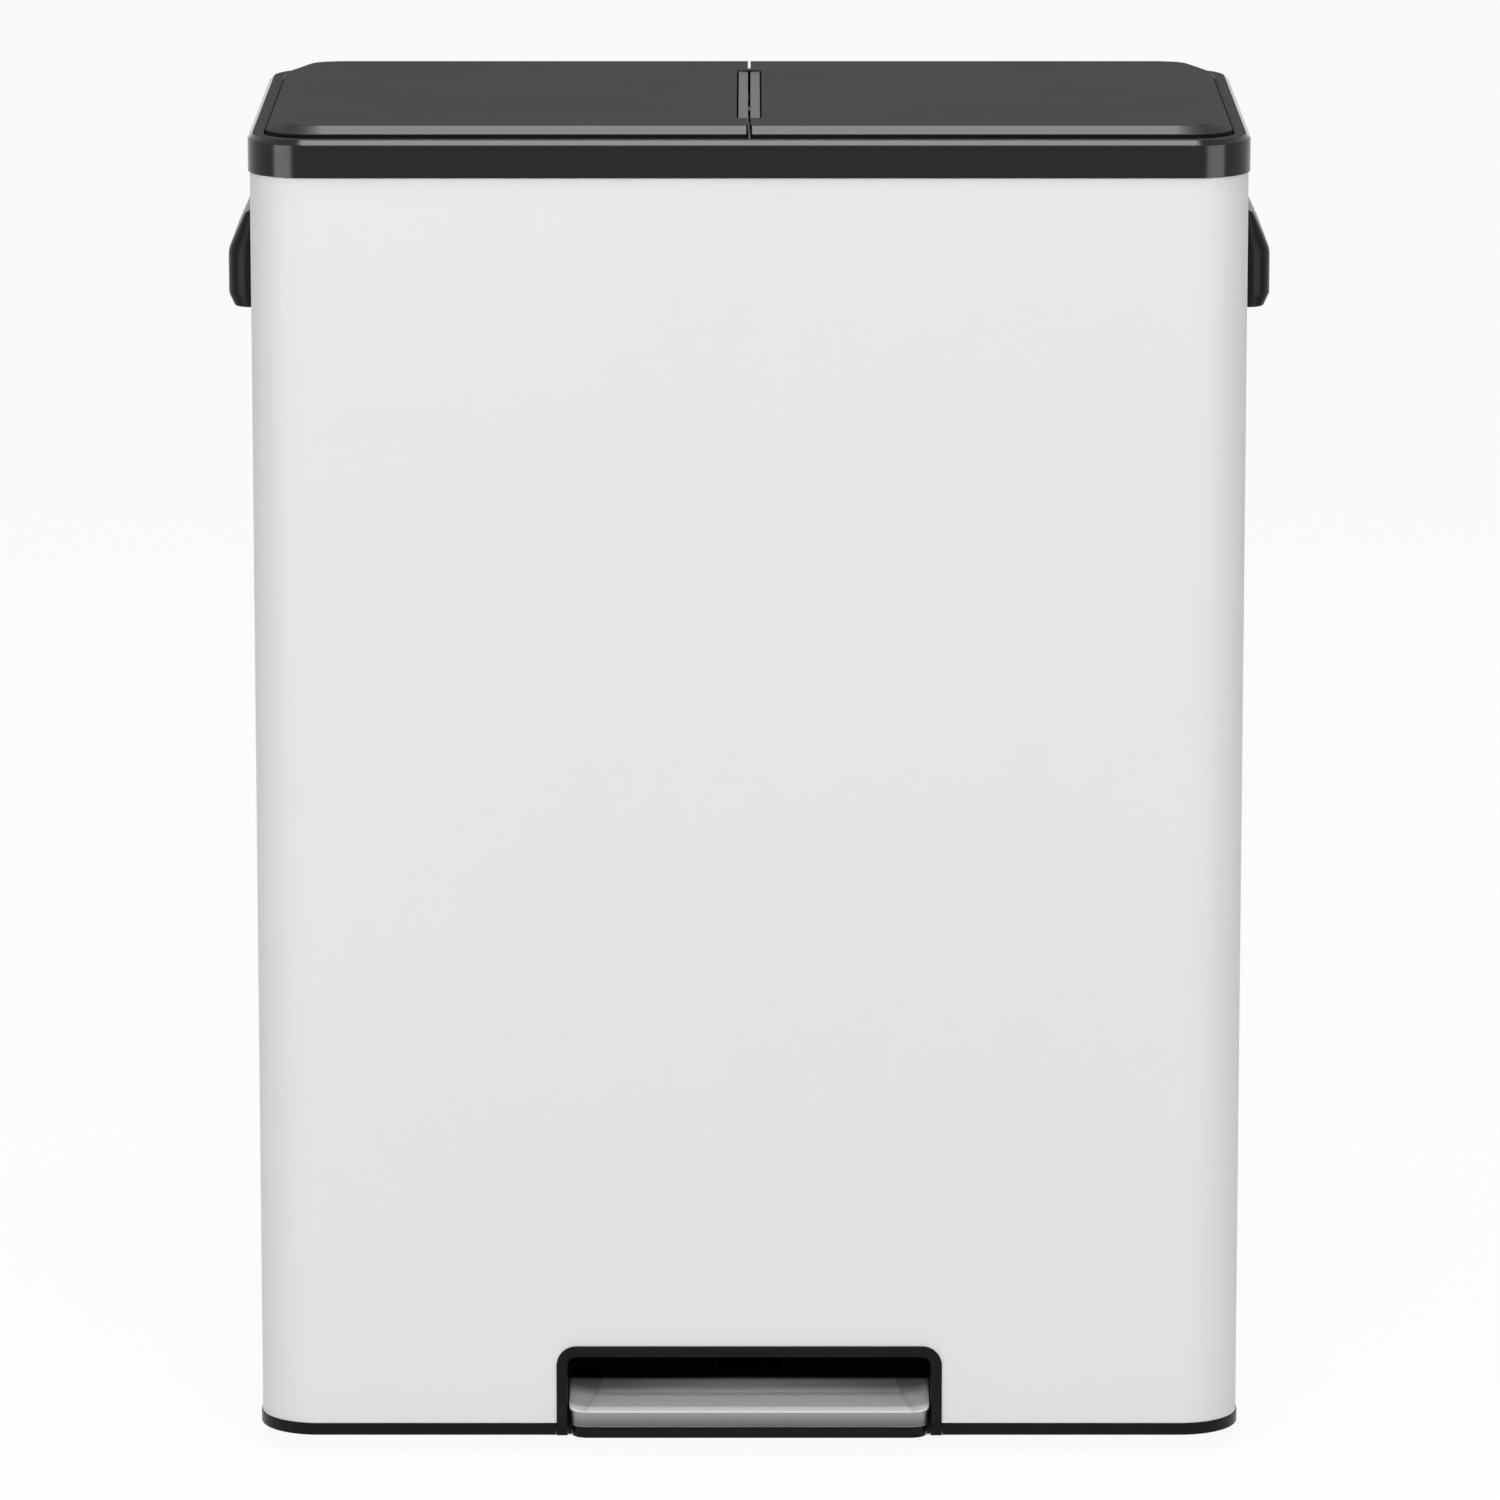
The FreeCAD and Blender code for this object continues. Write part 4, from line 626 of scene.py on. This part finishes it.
def casing_sheet(sizes):
    """The folded sheet: the surface point(i, j) has the plan outline's point j at the height of
    row i. Between the sides of the pedal's cut-out, row 1 follows the cut-out's arched top
    and the faces below it are left out; from row 2 up the rows are level. The cut-out's edge is
    tucked under the pedal's frame."""
    tuck, plain_above = 2.5, 12
    half, radius, top = sizes.frame_width / 2 - tuck, sizes.frame_radius - tuck, FRAME_HIGH[2] - tuck
    outline = casing_plan(sizes, SHEET_LOW[0] - RIM_LOW[0])
    arc = np.linspace(0, math.pi / 2, 9)
    left = np.stack([-half + radius * (1 - np.cos(arc)), top - radius * (1 - np.sin(arc))], 1)
    arch = np.concatenate([left, left[::-1] * (-1, 1)])
    steps = len(outline) // 4
    before, after = outline[:steps], outline[steps:]
    ring = np.concatenate([before, np.stack([arch[:, 0], np.full(len(arch), SHEET_LOW[1])], 1), after])
    row1 = np.full(len(ring), top - radius)
    row1[steps:steps + len(arch)] = arch[:, 1]
    heights = [SHEET_LOW[2], row1, *np.linspace(top + plain_above, SHEET_HIGH[2], 9)]
    return skin([raised(ring, z) for z in heights], caps=False, gaps=[(0, 0, steps, steps + len(arch) - 2)])


class BIN_OT_casing(bpy.types.Operator):
    """Fold the white sheet of the casing round its four corners"""
    bl_idname = "bin.casing"
    bl_label = "Casing sheet"

    def execute(self, context):
        sizes = Millimetres(context.scene)
        new_piece("casing_sheet", casing_sheet(sizes), "casing", ["body_shell"], "coat",
                  wall=sizes.sheet_thickness)
        return {"FINISHED"}


def hinge_lug(sizes, x):
    """A lug of the rim: an upright whose round head is centred on the hinge pin. Its hole isn't cut,
    because the pin fills it."""
    y, z = (PIN_LOW[1:] + PIN_HIGH[1:]) / 2
    r, foot = 3.5, sizes.ledge_top - 1
    u = np.linspace(0, math.pi, 17)
    head = np.stack([y + r * np.cos(u), z + r * np.sin(u)], 1)
    return prism(np.concatenate([head, [(y - r, foot), (y + r, foot)]]), x - LUG_HALF, x + LUG_HALF, "X")


class BIN_OT_rim(bpy.types.Operator):
    """Carry the rim's profile round the casing and add its ledge and hinge lugs"""
    bl_idname = "bin.rim"
    bl_label = "Top rim"

    def execute(self, context):
        sizes = Millimetres(context.scene)
        bottom, top, ledge, low = SHEET_HIGH[2], sizes.rim_top, sizes.ledge_top, RIM_LOW[2]
        band, edge, under, shelf_inset = sizes.rim_band, sizes.rim_edge, ledge - 2.5, sizes.rim_band + 4
        skirt_out, skirt_in = 2.0, 4.2
        profile = [(0, bottom), (0, top - edge), (edge, top), (band, top), (band, ledge),
                   (shelf_inset, ledge), (shelf_inset, under), (skirt_in, under), (skirt_in, low),
                   (skirt_out, low), (skirt_out, bottom)]
        radii = [0.3, 0.5, 0.5, 0.6, 1.0, 0, 0, 0, 0.3, 0.3, 0]
        section = round_corners(profile, radii, 6)
        ring = skin([raised(casing_plan(sizes, inset), z) for inset, z in section], closed=True)
        # On each side, the hole a bucket hangs in and the one its lid's rod comes up through.
        rod_x, rod_y, rod_half, rod_back = 60, 106, 8.5, 119.5
        holes = [plan(5, 226, RIM_LOW[1] + 19, RIM_HIGH[1] - 46, 18),
                 plan(rod_x - rod_half, rod_x + rod_half, rod_y - rod_half, rod_back, 0.6, 3)]
        holes += [hole[::-1] * (-1, 1) for hole in holes]
        shelf = plate(casing_plan(sizes, shelf_inset), holes, under, ledge)
        lugs = [hinge_lug(sizes, side * x) for side in (-1, 1) for x in LUG_PLACES]
        new_piece("rim", joined(ring, shelf), "casing", ["top_rim"], "rim")
        new_piece("hinge_lugs", joined(*lugs), "casing", [], "black", bevel=0.4)
        return {"FINISHED"}


class BIN_OT_base(bpy.types.Operator):
    """Carry the base band round the casing, open at the pedal, and lay its floor"""
    bl_idname = "bin.base"
    bl_label = "Base tray"

    def execute(self, context):
        sizes = Millimetres(context.scene)
        low, band_top, wall_top, floor_thick = BAND_LOW[2], SHEET_LOW[2], BAND_HIGH[2], 2.5
        face, wall_out, wall_in, gap_half = 0.3, 2.0, 4.5, 96.3
        profile = [(face, low), (face, band_top), (wall_out, band_top), (wall_out, wall_top),
                   (wall_in, wall_top), (wall_in, low)]
        section = round_corners(profile, [0.7, 0.5, 0, 0.4, 0.4, 0], 4)

        def open_plan(inset):
            """The outline from the right side of the pedal's gap round to its left side."""
            whole = casing_plan(sizes, inset)
            steps = len(whole) // 4
            front = RIM_LOW[1] + inset
            return np.concatenate([[(gap_half, front)], whole[steps:], whole[:steps], [(-gap_half, front)]])

        band = skin([raised(open_plan(inset), z) for inset, z in section], around=False, closed=True)
        gap_back = FRAME_HIGH[1] + 0.2
        floor_plan = np.concatenate([open_plan(wall_in - 0.1), [(-gap_half, gap_back), (gap_half, gap_back)]])
        floor = plate(floor_plan, [], low, low + floor_thick)
        new_piece("base_band", joined(band, floor), "casing", ["base_tray"], "black")
        foot, neck, barb, catch, tip = 12, 4, 5.5, low + floor_thick + 0.05, FEET_HIGH[2]
        disc = round_corners([(0, 0), (foot, 0), (foot, low), (0, low)], [0, 1.2, 0.4, 0], 6)
        stem = [(0, low), (neck, low), (neck, catch), (barb, catch), (barb, tip - 0.35), (barb - 0.5, tip),
                (0, tip)]
        feet = [turned(profile, (x, y, 0)) for profile in (disc, stem)
                for x in (FEET_LOW[0] + foot, FEET_HIGH[0] - foot)
                for y in (FEET_LOW[1] + foot, FEET_HIGH[1] - foot)]
        new_piece("feet", joined(*feet), "casing", ["rubber_feet"], "rubber")
        return {"FINISHED"}


class BIN_OT_lids(bpy.types.Operator):
    """Press the two lids with their bevels and finger steps"""
    bl_idname = "bin.lids"
    bl_label = "Lids"

    def execute(self, context):
        sizes = Millimetres(context.scene)
        left = lid_surface(sizes)
        for place, form in (("left", left), ("right", mirrored(left))):
            new_piece("lid_" + place, form, "lid_" + place, ["lid_cover_" + place], "lid",
                      bevel=0.3, sharp=11.0)
        return {"FINISHED"}


def lid_surface(sizes):
    """The left lid as one closed skin, from the panel under it, down inside the skirt, up outside
    it, over the bevels and in across the top. Each level's plan lies a share of the way from the
    skirt's outline to the top's, so the bevels are flat. Along the split both outlines share a
    line, which stands back a little through the front bevel. Two points there fold in between
    levels to make the finger step: it slopes up from the split to a narrow groove. At the hinge
    lugs the outer skin folds in to the inner one, and the faces between them are left out."""
    (x0, y0, z0), (x1, y1, z1) = LID_LOW, LID_HIGH
    bevel, drop, grip, wall = sizes.lid_bevel, sizes.lid_bevel_drop, sizes.grip_width, 1.6
    step0, step1 = RIM_LOW[1] + 46, RIM_LOW[1] + 226
    notch_half, count, turn, notch_top, groove = LUG_HALF + 1.0, 14, z1 - drop, z1 - 1.9, 0.9
    front_radius, back_radius, back_bevel, split = 21, 26, 3.5, 0.8
    lugs = [(notch_half - x, -notch_half - x) for x in LUG_PLACES]
    notch_share = (notch_top - turn) / drop

    def level(share, z, inward=0.0, step=0.0, step_z=None, notch=0.0):
        a, b = x0 + bevel * share + inward, y0 + bevel * share + inward
        c, d = y1 - back_bevel * share - inward, x1 - inward
        slant_end, r = max(b, y0 + bevel), back_radius - bevel * share - inward

        def rear(x):
            """The back edge at x: straight, then round the corner."""
            return c - r + math.sqrt(r * r - min(max(a + r - x, 0), r) ** 2)

        corners = [(a, b), (d - split, b), (d - split, slant_end), (d, slant_end), (d, step0),
                   (d - step, step0), (d - step, step1), (d, step1), (d, c)]
        for right, left in lugs:
            corners += [(right, rear(right)), (right, rear(right) - notch), (left, rear(left) - notch),
                        (left, rear(left))]
        corners += [(a, c)]
        radii = [front_radius - bevel * share - inward] + [0] * (len(corners) - 2) + [r]
        flat = round_corners(corners, radii, count)
        arc = round_corners([(d, c), (a, c), (a, b)], [0, r, 0], count)[count:2 * count]
        last = lugs[-1][1]
        arc[:, 0] = np.minimum(arc[:, 0], last)
        arc[:, 1] = np.where(arc[:, 0] == last, rear(last), arc[:, 1])
        flat[-count:] = arc
        heights = np.full(len(flat), float(z))
        if step_z:
            heights[count * 4:count * 8] = step_z[0]
            heights[count * 5:count * 7] = step_z[1]
        return raised(flat, heights)

    levels = [level(share, z, wall) for share, z in ((1.0, z1 - wall), (notch_share, notch_top),
                                                     (0.0, turn), (0.0, z0))]
    levels += [level(share, z, notch=wall) for share, z in ((0.0, z0), (0.0, turn),
                                                            (notch_share, notch_top))]
    levels += [level(notch_share, notch_top), level(0.5, turn + drop / 2)]
    # The finger step's edges at the split and at the groove, then the groove's two bottom edges.
    for step, depth in ((0.0, 0.8), (grip, 0.5), (grip + 0.1, 1.6), (grip + groove, 1.6)):
        levels.append(level(0.75, turn + drop * 0.75, step=step, step_z=(z1 - 0.8, z1 - depth)))
    levels.append(level(1.0, z1, step=grip + groove))
    return skin(levels, gaps=[(1, 5, column, column) for column in (count * 11 - 1, count * 15 - 1)])


class BIN_OT_buckets(bpy.types.Operator):
    """Form the two tapered buckets with their flanges"""
    bl_idname = "bin.buckets"
    bl_label = "Buckets"

    def execute(self, context):
        sizes = Millimetres(context.scene)
        (x0, y0, z0), (x1, y1, z1) = BUCKET_LOW, BUCKET_HIGH
        taper, wall, lip = sizes.bucket_taper, sizes.bucket_wall, 4.0
        foot, floor = lip + taper, z0 + wall
        path = [(foot + 17, z0, 0.5), (foot, z0, 17), (lip, z1 - 3, 17), (0, z1 - 3, 21), (0, z1, 21),
                (lip + wall, z1, 15), (foot + wall, floor, 15), (foot + wall + 14, floor, 0.5)]
        profile = round_corners(path, [0, 5, 0.8, 0.8, 0.8, 0.8, 4, 0], 6)[5:-5]
        loops = [raised(plan(x0 + inset, x1 - inset, y0 + inset, y1 - inset, max(radius, 0.5)), z)
                 for inset, z, radius in profile]
        right = skin(loops)
        for place, form in (("right", right), ("left", mirrored(right))):
            new_piece("bucket_shell_" + place, form, "casing", ["bucket_" + place], "bucket")
        return {"FINISHED"}


class BIN_OT_surround(bpy.types.Operator):
    """Carry the frame's profile over the pedal and close the recess behind it"""
    bl_idname = "bin.surround"
    bl_label = "Pedal frame and recess"

    def execute(self, context):
        sizes = Millimetres(context.scene)
        half, top, low = sizes.frame_width / 2, FRAME_HIGH[2], FRAME_LOW[2]
        front, back = FRAME_LOW[1], FRAME_HIGH[1]
        border, radius = sizes.frame_border, sizes.frame_radius

        def arch(inset):
            """The frame's outline from its right foot over to its left foot, drawn in by `inset`."""
            a, b, r = half - inset, top - inset, max(radius - inset, 0.6)
            u = np.linspace(0, math.pi / 2, 14)
            right = np.stack([a - r + r * np.cos(u), b - r + r * np.sin(u)], 1)
            return np.concatenate([[(a, low)], right, right[::-1] * (-1, 1), [(-a, low)]])

        profile = [(0, front), (border, front), (border, back - 0.3), (border - 2.2, back - 0.3),
                   (border - 2.2, front + 0.9), (0, front + 0.9)]
        section = round_corners(profile, [0.5, 0.5, 0, 0, 0, 0.1], 5)
        frame_form = skin([raised(arch(inset), y, "Y") for inset, y in section], around=False, closed=True)
        # The wall behind the recess is open at its foot, where the lever comes through.
        slot_half, slot_high, wall_x = 16, 24, 91.8
        slot = [(-slot_half, low), (-slot_half, low + slot_high),
                (slot_half, low + slot_high), (slot_half, low)]
        rear = prism(np.concatenate([arch(border - 1.8), slot]), back - 2.2, back, "Y")
        # On each side, the tab that is screwed to the base and the boss that holds the axle.
        tab = box(wall_x, wall_x + 14, back - 40, back, low + 2.5, low + 5)
        boss = turned([(0, 0), (6.5, 0), (6.5, 5.0), (0, 5.0)], (wall_x, -80, 22), "X")
        side = joined(tab, boss)
        new_piece("pedal_frame", joined(frame_form, rear, mirrored(side), side), "casing", ["pedal_surround"],
                  "black")
        return {"FINISHED"}


class BIN_OT_pedal(bpy.types.Operator):
    """Press the pedal's steel tread with its lip and raised border"""
    bl_idname = "bin.pedal"
    bl_label = "Pedal tread"

    def execute(self, context):
        sizes = Millimetres(context.scene)
        (x0, y0, z0), (x1, y1, z1) = TREAD_LOW, TREAD_HIGH
        panel_z, thick, edge, corner = sizes.panel_height, 1.2, 1.2, sizes.tread_corner
        back_y, crest_y, flat_half = y0 + PANEL_DEPTH, y0 + 46.5, x1 - corner - 0.2
        corners = [(x0, y0), (-flat_half, y0), (flat_half, y0), (x1, y0), (x1, back_y), (x1, crest_y),
                   (x1, y1), (PANEL_BACK, y1), (-PANEL_BACK, y1), (x0, y1), (x0, crest_y), (x0, back_y)]
        radii = [corner, 0, 0, corner, 0, 0, 0.8, 0, 0, 0.8, 0, 0]

        def outline(inset):
            """The tread's plan drawn in by `inset`; points inside it move with the nearest side."""
            flat = np.array(corners, float)
            middle = np.array([0, (y0 + y1) / 2])
            reach = np.array([x1, (y1 - y0) / 2])
            outer = np.isclose(np.abs(flat - middle), reach)
            flat -= np.sign(flat - middle) * outer * inset
            return round_corners(flat, np.maximum(np.array(radii) - inset, 0) * (np.array(radii) > 0), 8)

        # The border rises from the panel's line at the lip to its full height at the panel's back.
        rim, inner = outline(0), outline(thick)
        rise = np.clip((np.abs(rim[:, 0]) - PANEL_FRONT) / (x1 - edge - PANEL_FRONT), 0, 1)
        rise[rim[:, 1] > y0 + corner] = 1
        crest = rim + (outline(edge) - rim) * rise[:, None]
        crest[:, 1] = np.clip(crest[:, 1], y0, crest_y)
        climb = np.clip((rim[:, 1] - y0) / PANEL_DEPTH, 0, 1)
        height = panel_z + (sizes.border_front + (z1 - panel_z - sizes.border_front) * climb) * rise
        y = np.clip(crest[:, 1], y0, back_y)
        half = PANEL_FRONT - PANEL_TAPER * (y - y0)
        panel = np.stack([np.clip(crest[:, 0], -half, half), y], 1)
        loops = [(inner, panel_z - thick), (inner, z0), (rim, z0), (rim, height), (crest, height),
                 (panel, panel_z)]
        new_piece("tread", skin([raised(*loop) for loop in loops]), "pedal", ["pedal_tread"],
                  "steel", bevel=0.7, sharp=14.0)
        return {"FINISHED"}


class BIN_OT_handles(bpy.types.Operator):
    """Form the two cup handles on the sides"""
    bl_idname = "bin.handles"
    bl_label = "Side handles"

    def execute(self, context):
        sizes = Millimetres(context.scene)
        (x0, y0, z0), (x1, y1, z1) = HANDLE_LOW, HANDLE_HIGH
        proud, wall, end, reach, slope_foot = x1 - x0, 2.8, 14.0, sizes.handle_round, z1 - 22

        def level(depth, z, inset=0.0, back=0.0):
            """The plan outline at a height: flat on the sheet, rounded at its two outer corners."""
            outer = x0 + depth
            r = min(reach, depth * 0.75) if inset == 0 else 2.0
            return raised(plan(x0 + back, outer, y0 + inset, y1 - inset, [0, r, r, 0], 10), z)

        profile = round_corners([(0.1, z1), (proud * 0.4, z1 - wall), (proud, slope_foot), (proud, z0 + 6),
                                 (proud - 3, z0), (0.1, z0)], [0, 3, 14, 3, 0.8, 0], 6)
        outside = [level(depth, z) for depth, z in profile[5:-6]]
        hollow = [level(depth, z, end, 0.3) for depth, z in (
            (proud - wall, z0), (proud - wall, slope_foot - wall / 2), (proud * 0.4, z1 - 3 * wall))]
        right = skin(outside + hollow)
        for place, form in (("right", right), ("left", mirrored(right))):
            new_piece("handle_" + place, form, "casing", ["side_handle_" + place], "black",
                      bevel=0.5, sharp=35.0)
        return {"FINISHED"}


class BIN_OT_mechanism(bpy.types.Operator):
    """Give the working parts, whose shapes are right as they are, their finishes"""
    bl_idname = "bin.mechanism"
    bl_label = "Working parts"

    def execute(self, context):
        groups = {
            "zinc": ("handle_screws", "surround_screws", "hinge_pin_right", "hinge_pin_left", "pedal_axle",
                     "rod_guide_brackets", "pedal_lever", "pedal_screws", "push_rod_right", "push_rod_left"),
            "nylon": ("rod_guide_bushes", "rod_pad_right", "rod_pad_left", "rod_cap_right", "rod_cap_left"),
            "black": ("pedal_body",), "lid": ("lid_liner_left", "lid_liner_right"),
            "rubber": ("lid_bumpers",)}
        for finish, nodes in groups.items():
            for node in nodes:
                dress(node, finish)
        return {"FINISHED"}


# -------- stage

def softbox(name, place, aim, width, height, power):
    """An area lamp at `place` that faces `aim`."""
    data = bpy.data.lights.new(name, "AREA")
    data.shape, data.size, data.size_y, data.energy = "RECTANGLE", width, height, power
    lamp = bpy.data.objects.new(name, data)
    bpy.context.scene.collection.objects.link(lamp)
    lamp.location = place
    lamp.rotation_euler = (Vector(aim) - Vector(place)).to_track_quat("-Z", "Y").to_euler()


def seen_as_background(tree):
    """One for camera, glossy and transmitted rays, nought for the rays that light the object."""
    path = add(tree, "ShaderNodeLightPath").outputs
    some = maths(tree, "MAXIMUM", path["Is Camera Ray"], path["Is Glossy Ray"])
    return maths(tree, "MAXIMUM", some, path["Is Transmission Ray"])


class BIN_OT_stage(bpy.types.Operator):
    """Set up the pale floor, the soft lamps and the camera"""
    bl_idname = "bin.stage"
    bl_label = "Stage"

    def execute(self, context):
        scene = context.scene
        scene.view_settings.view_transform = "Standard"
        world = bpy.data.worlds.new("Studio")
        scene.world = world
        world.use_nodes = True
        tree = world.node_tree
        tree.nodes.clear()
        strength = spread_between(tree, seen_as_background(tree), 0.12, 1.0)
        sky = add(tree, "ShaderNodeBackground", {"Color": (1, 1, 1, 1), "Strength": strength})
        add(tree, "ShaderNodeOutputWorld", {"Surface": sky.outputs[0]})

        ground, tree, shader, place = new_material("Floor", (0.86, 0.86, 0.86), 0.2)
        shader.inputs["Roughness"].default_value = 0.8
        glow = add(tree, "ShaderNodeEmission", {"Color": (1, 1, 1, 1), "Strength": 1.0})
        below = zone(tree, place, (-104, -103, -100), (104, 60, 100), (10, 4, 1))
        share = maths(tree, "MULTIPLY", maths(tree, "MULTIPLY", seen_as_background(tree), 0.94),
                      maths(tree, "SUBTRACT", 1.0, below))
        mix = add(tree, "ShaderNodeMixShader", {0: share, 1: shader.outputs[0], 2: glow.outputs[0]})
        output = next(n for n in tree.nodes if n.type == "OUTPUT_MATERIAL")
        tree.links.new(mix.outputs[0], output.inputs["Surface"])
        mesh, far = bpy.data.meshes.new("floor"), 30
        mesh.from_pydata([(-far, -far, 0), (far, -far, 0), (far, far, 0), (-far, far, 0)], [], [(0, 1, 2, 3)])
        mesh.materials.append(ground)
        floor = bpy.data.objects.new("floor", mesh)
        scene.collection.objects.link(floor)

        softbox("Front", (0, -2.6, 2.3), (0, 0, 0.2), 2.2, 0.9, 47)
        softbox("Left strip", (-1.38, -1.12, 0.36), (-0.24, -0.13, 0.36), 0.95, 0.3, 5.8)
        softbox("Right strip", (1.38, -1.12, 0.36), (0.24, -0.13, 0.36), 0.95, 0.3, 5.0)
        softbox("Back overhead", (0, 1.8, 2.25), (0, 0, 0.66), 2.4, 0.6, 19)
        softbox("Top strip", (0, -0.44, 2.2), (0, -0.135, 0.66), 1.0, 0.4, 14)

        # The camera stands 4.5 m from the bin's front and looks down by its pitch, in degrees.
        pitch = 11.57
        lens = bpy.data.cameras.new("Camera")
        lens.sensor_width, lens.lens, lens.clip_end = 36.0, 224.2, 100
        camera = bpy.data.objects.new("Camera", lens)
        camera.location = (0.0004, -4.635, 1.2795)
        camera.rotation_euler = (math.radians(90 - pitch), 0, 0)
        scene.collection.objects.link(camera)
        scene.camera = camera
        return {"FINISHED"}


class BIN_PT_panel(bpy.types.Panel):
    """Lists the steps that build the bin's surfaces"""
    bl_idname = "BIN_PT_panel"
    bl_label = "Double recycling bin"
    bl_space_type = "VIEW_3D"
    bl_region_type = "UI"
    bl_category = "Bin"

    def draw(self, context):
        for operator in STEPS:
            self.layout.operator(operator.bl_idname)
        for group in (context.scene.bin_sizes, context.scene.bin_colours):
            for name in group.__annotations__:
                self.layout.prop(group, name)


STEPS = (BIN_OT_finishes, BIN_OT_stage, BIN_OT_casing, BIN_OT_rim, BIN_OT_base, BIN_OT_lids, BIN_OT_buckets,
         BIN_OT_surround, BIN_OT_pedal, BIN_OT_handles, BIN_OT_mechanism)
CLASSES = (BinSizes, BinColours) + STEPS + (BIN_PT_panel,)


def register():
    for cls in CLASSES:
        bpy.utils.register_class(cls)
    bpy.types.Scene.bin_sizes = PointerProperty(type=BinSizes)
    bpy.types.Scene.bin_colours = PointerProperty(type=BinColours)


def unregister():
    del bpy.types.Scene.bin_colours
    del bpy.types.Scene.bin_sizes
    for cls in reversed(CLASSES):
        bpy.utils.unregister_class(cls)


def main():
    register()
    for step in STEPS:
        area, name = step.bl_idname.split(".")
        getattr(getattr(bpy.ops, area), name)()


if __name__ == "__main__":
    main()
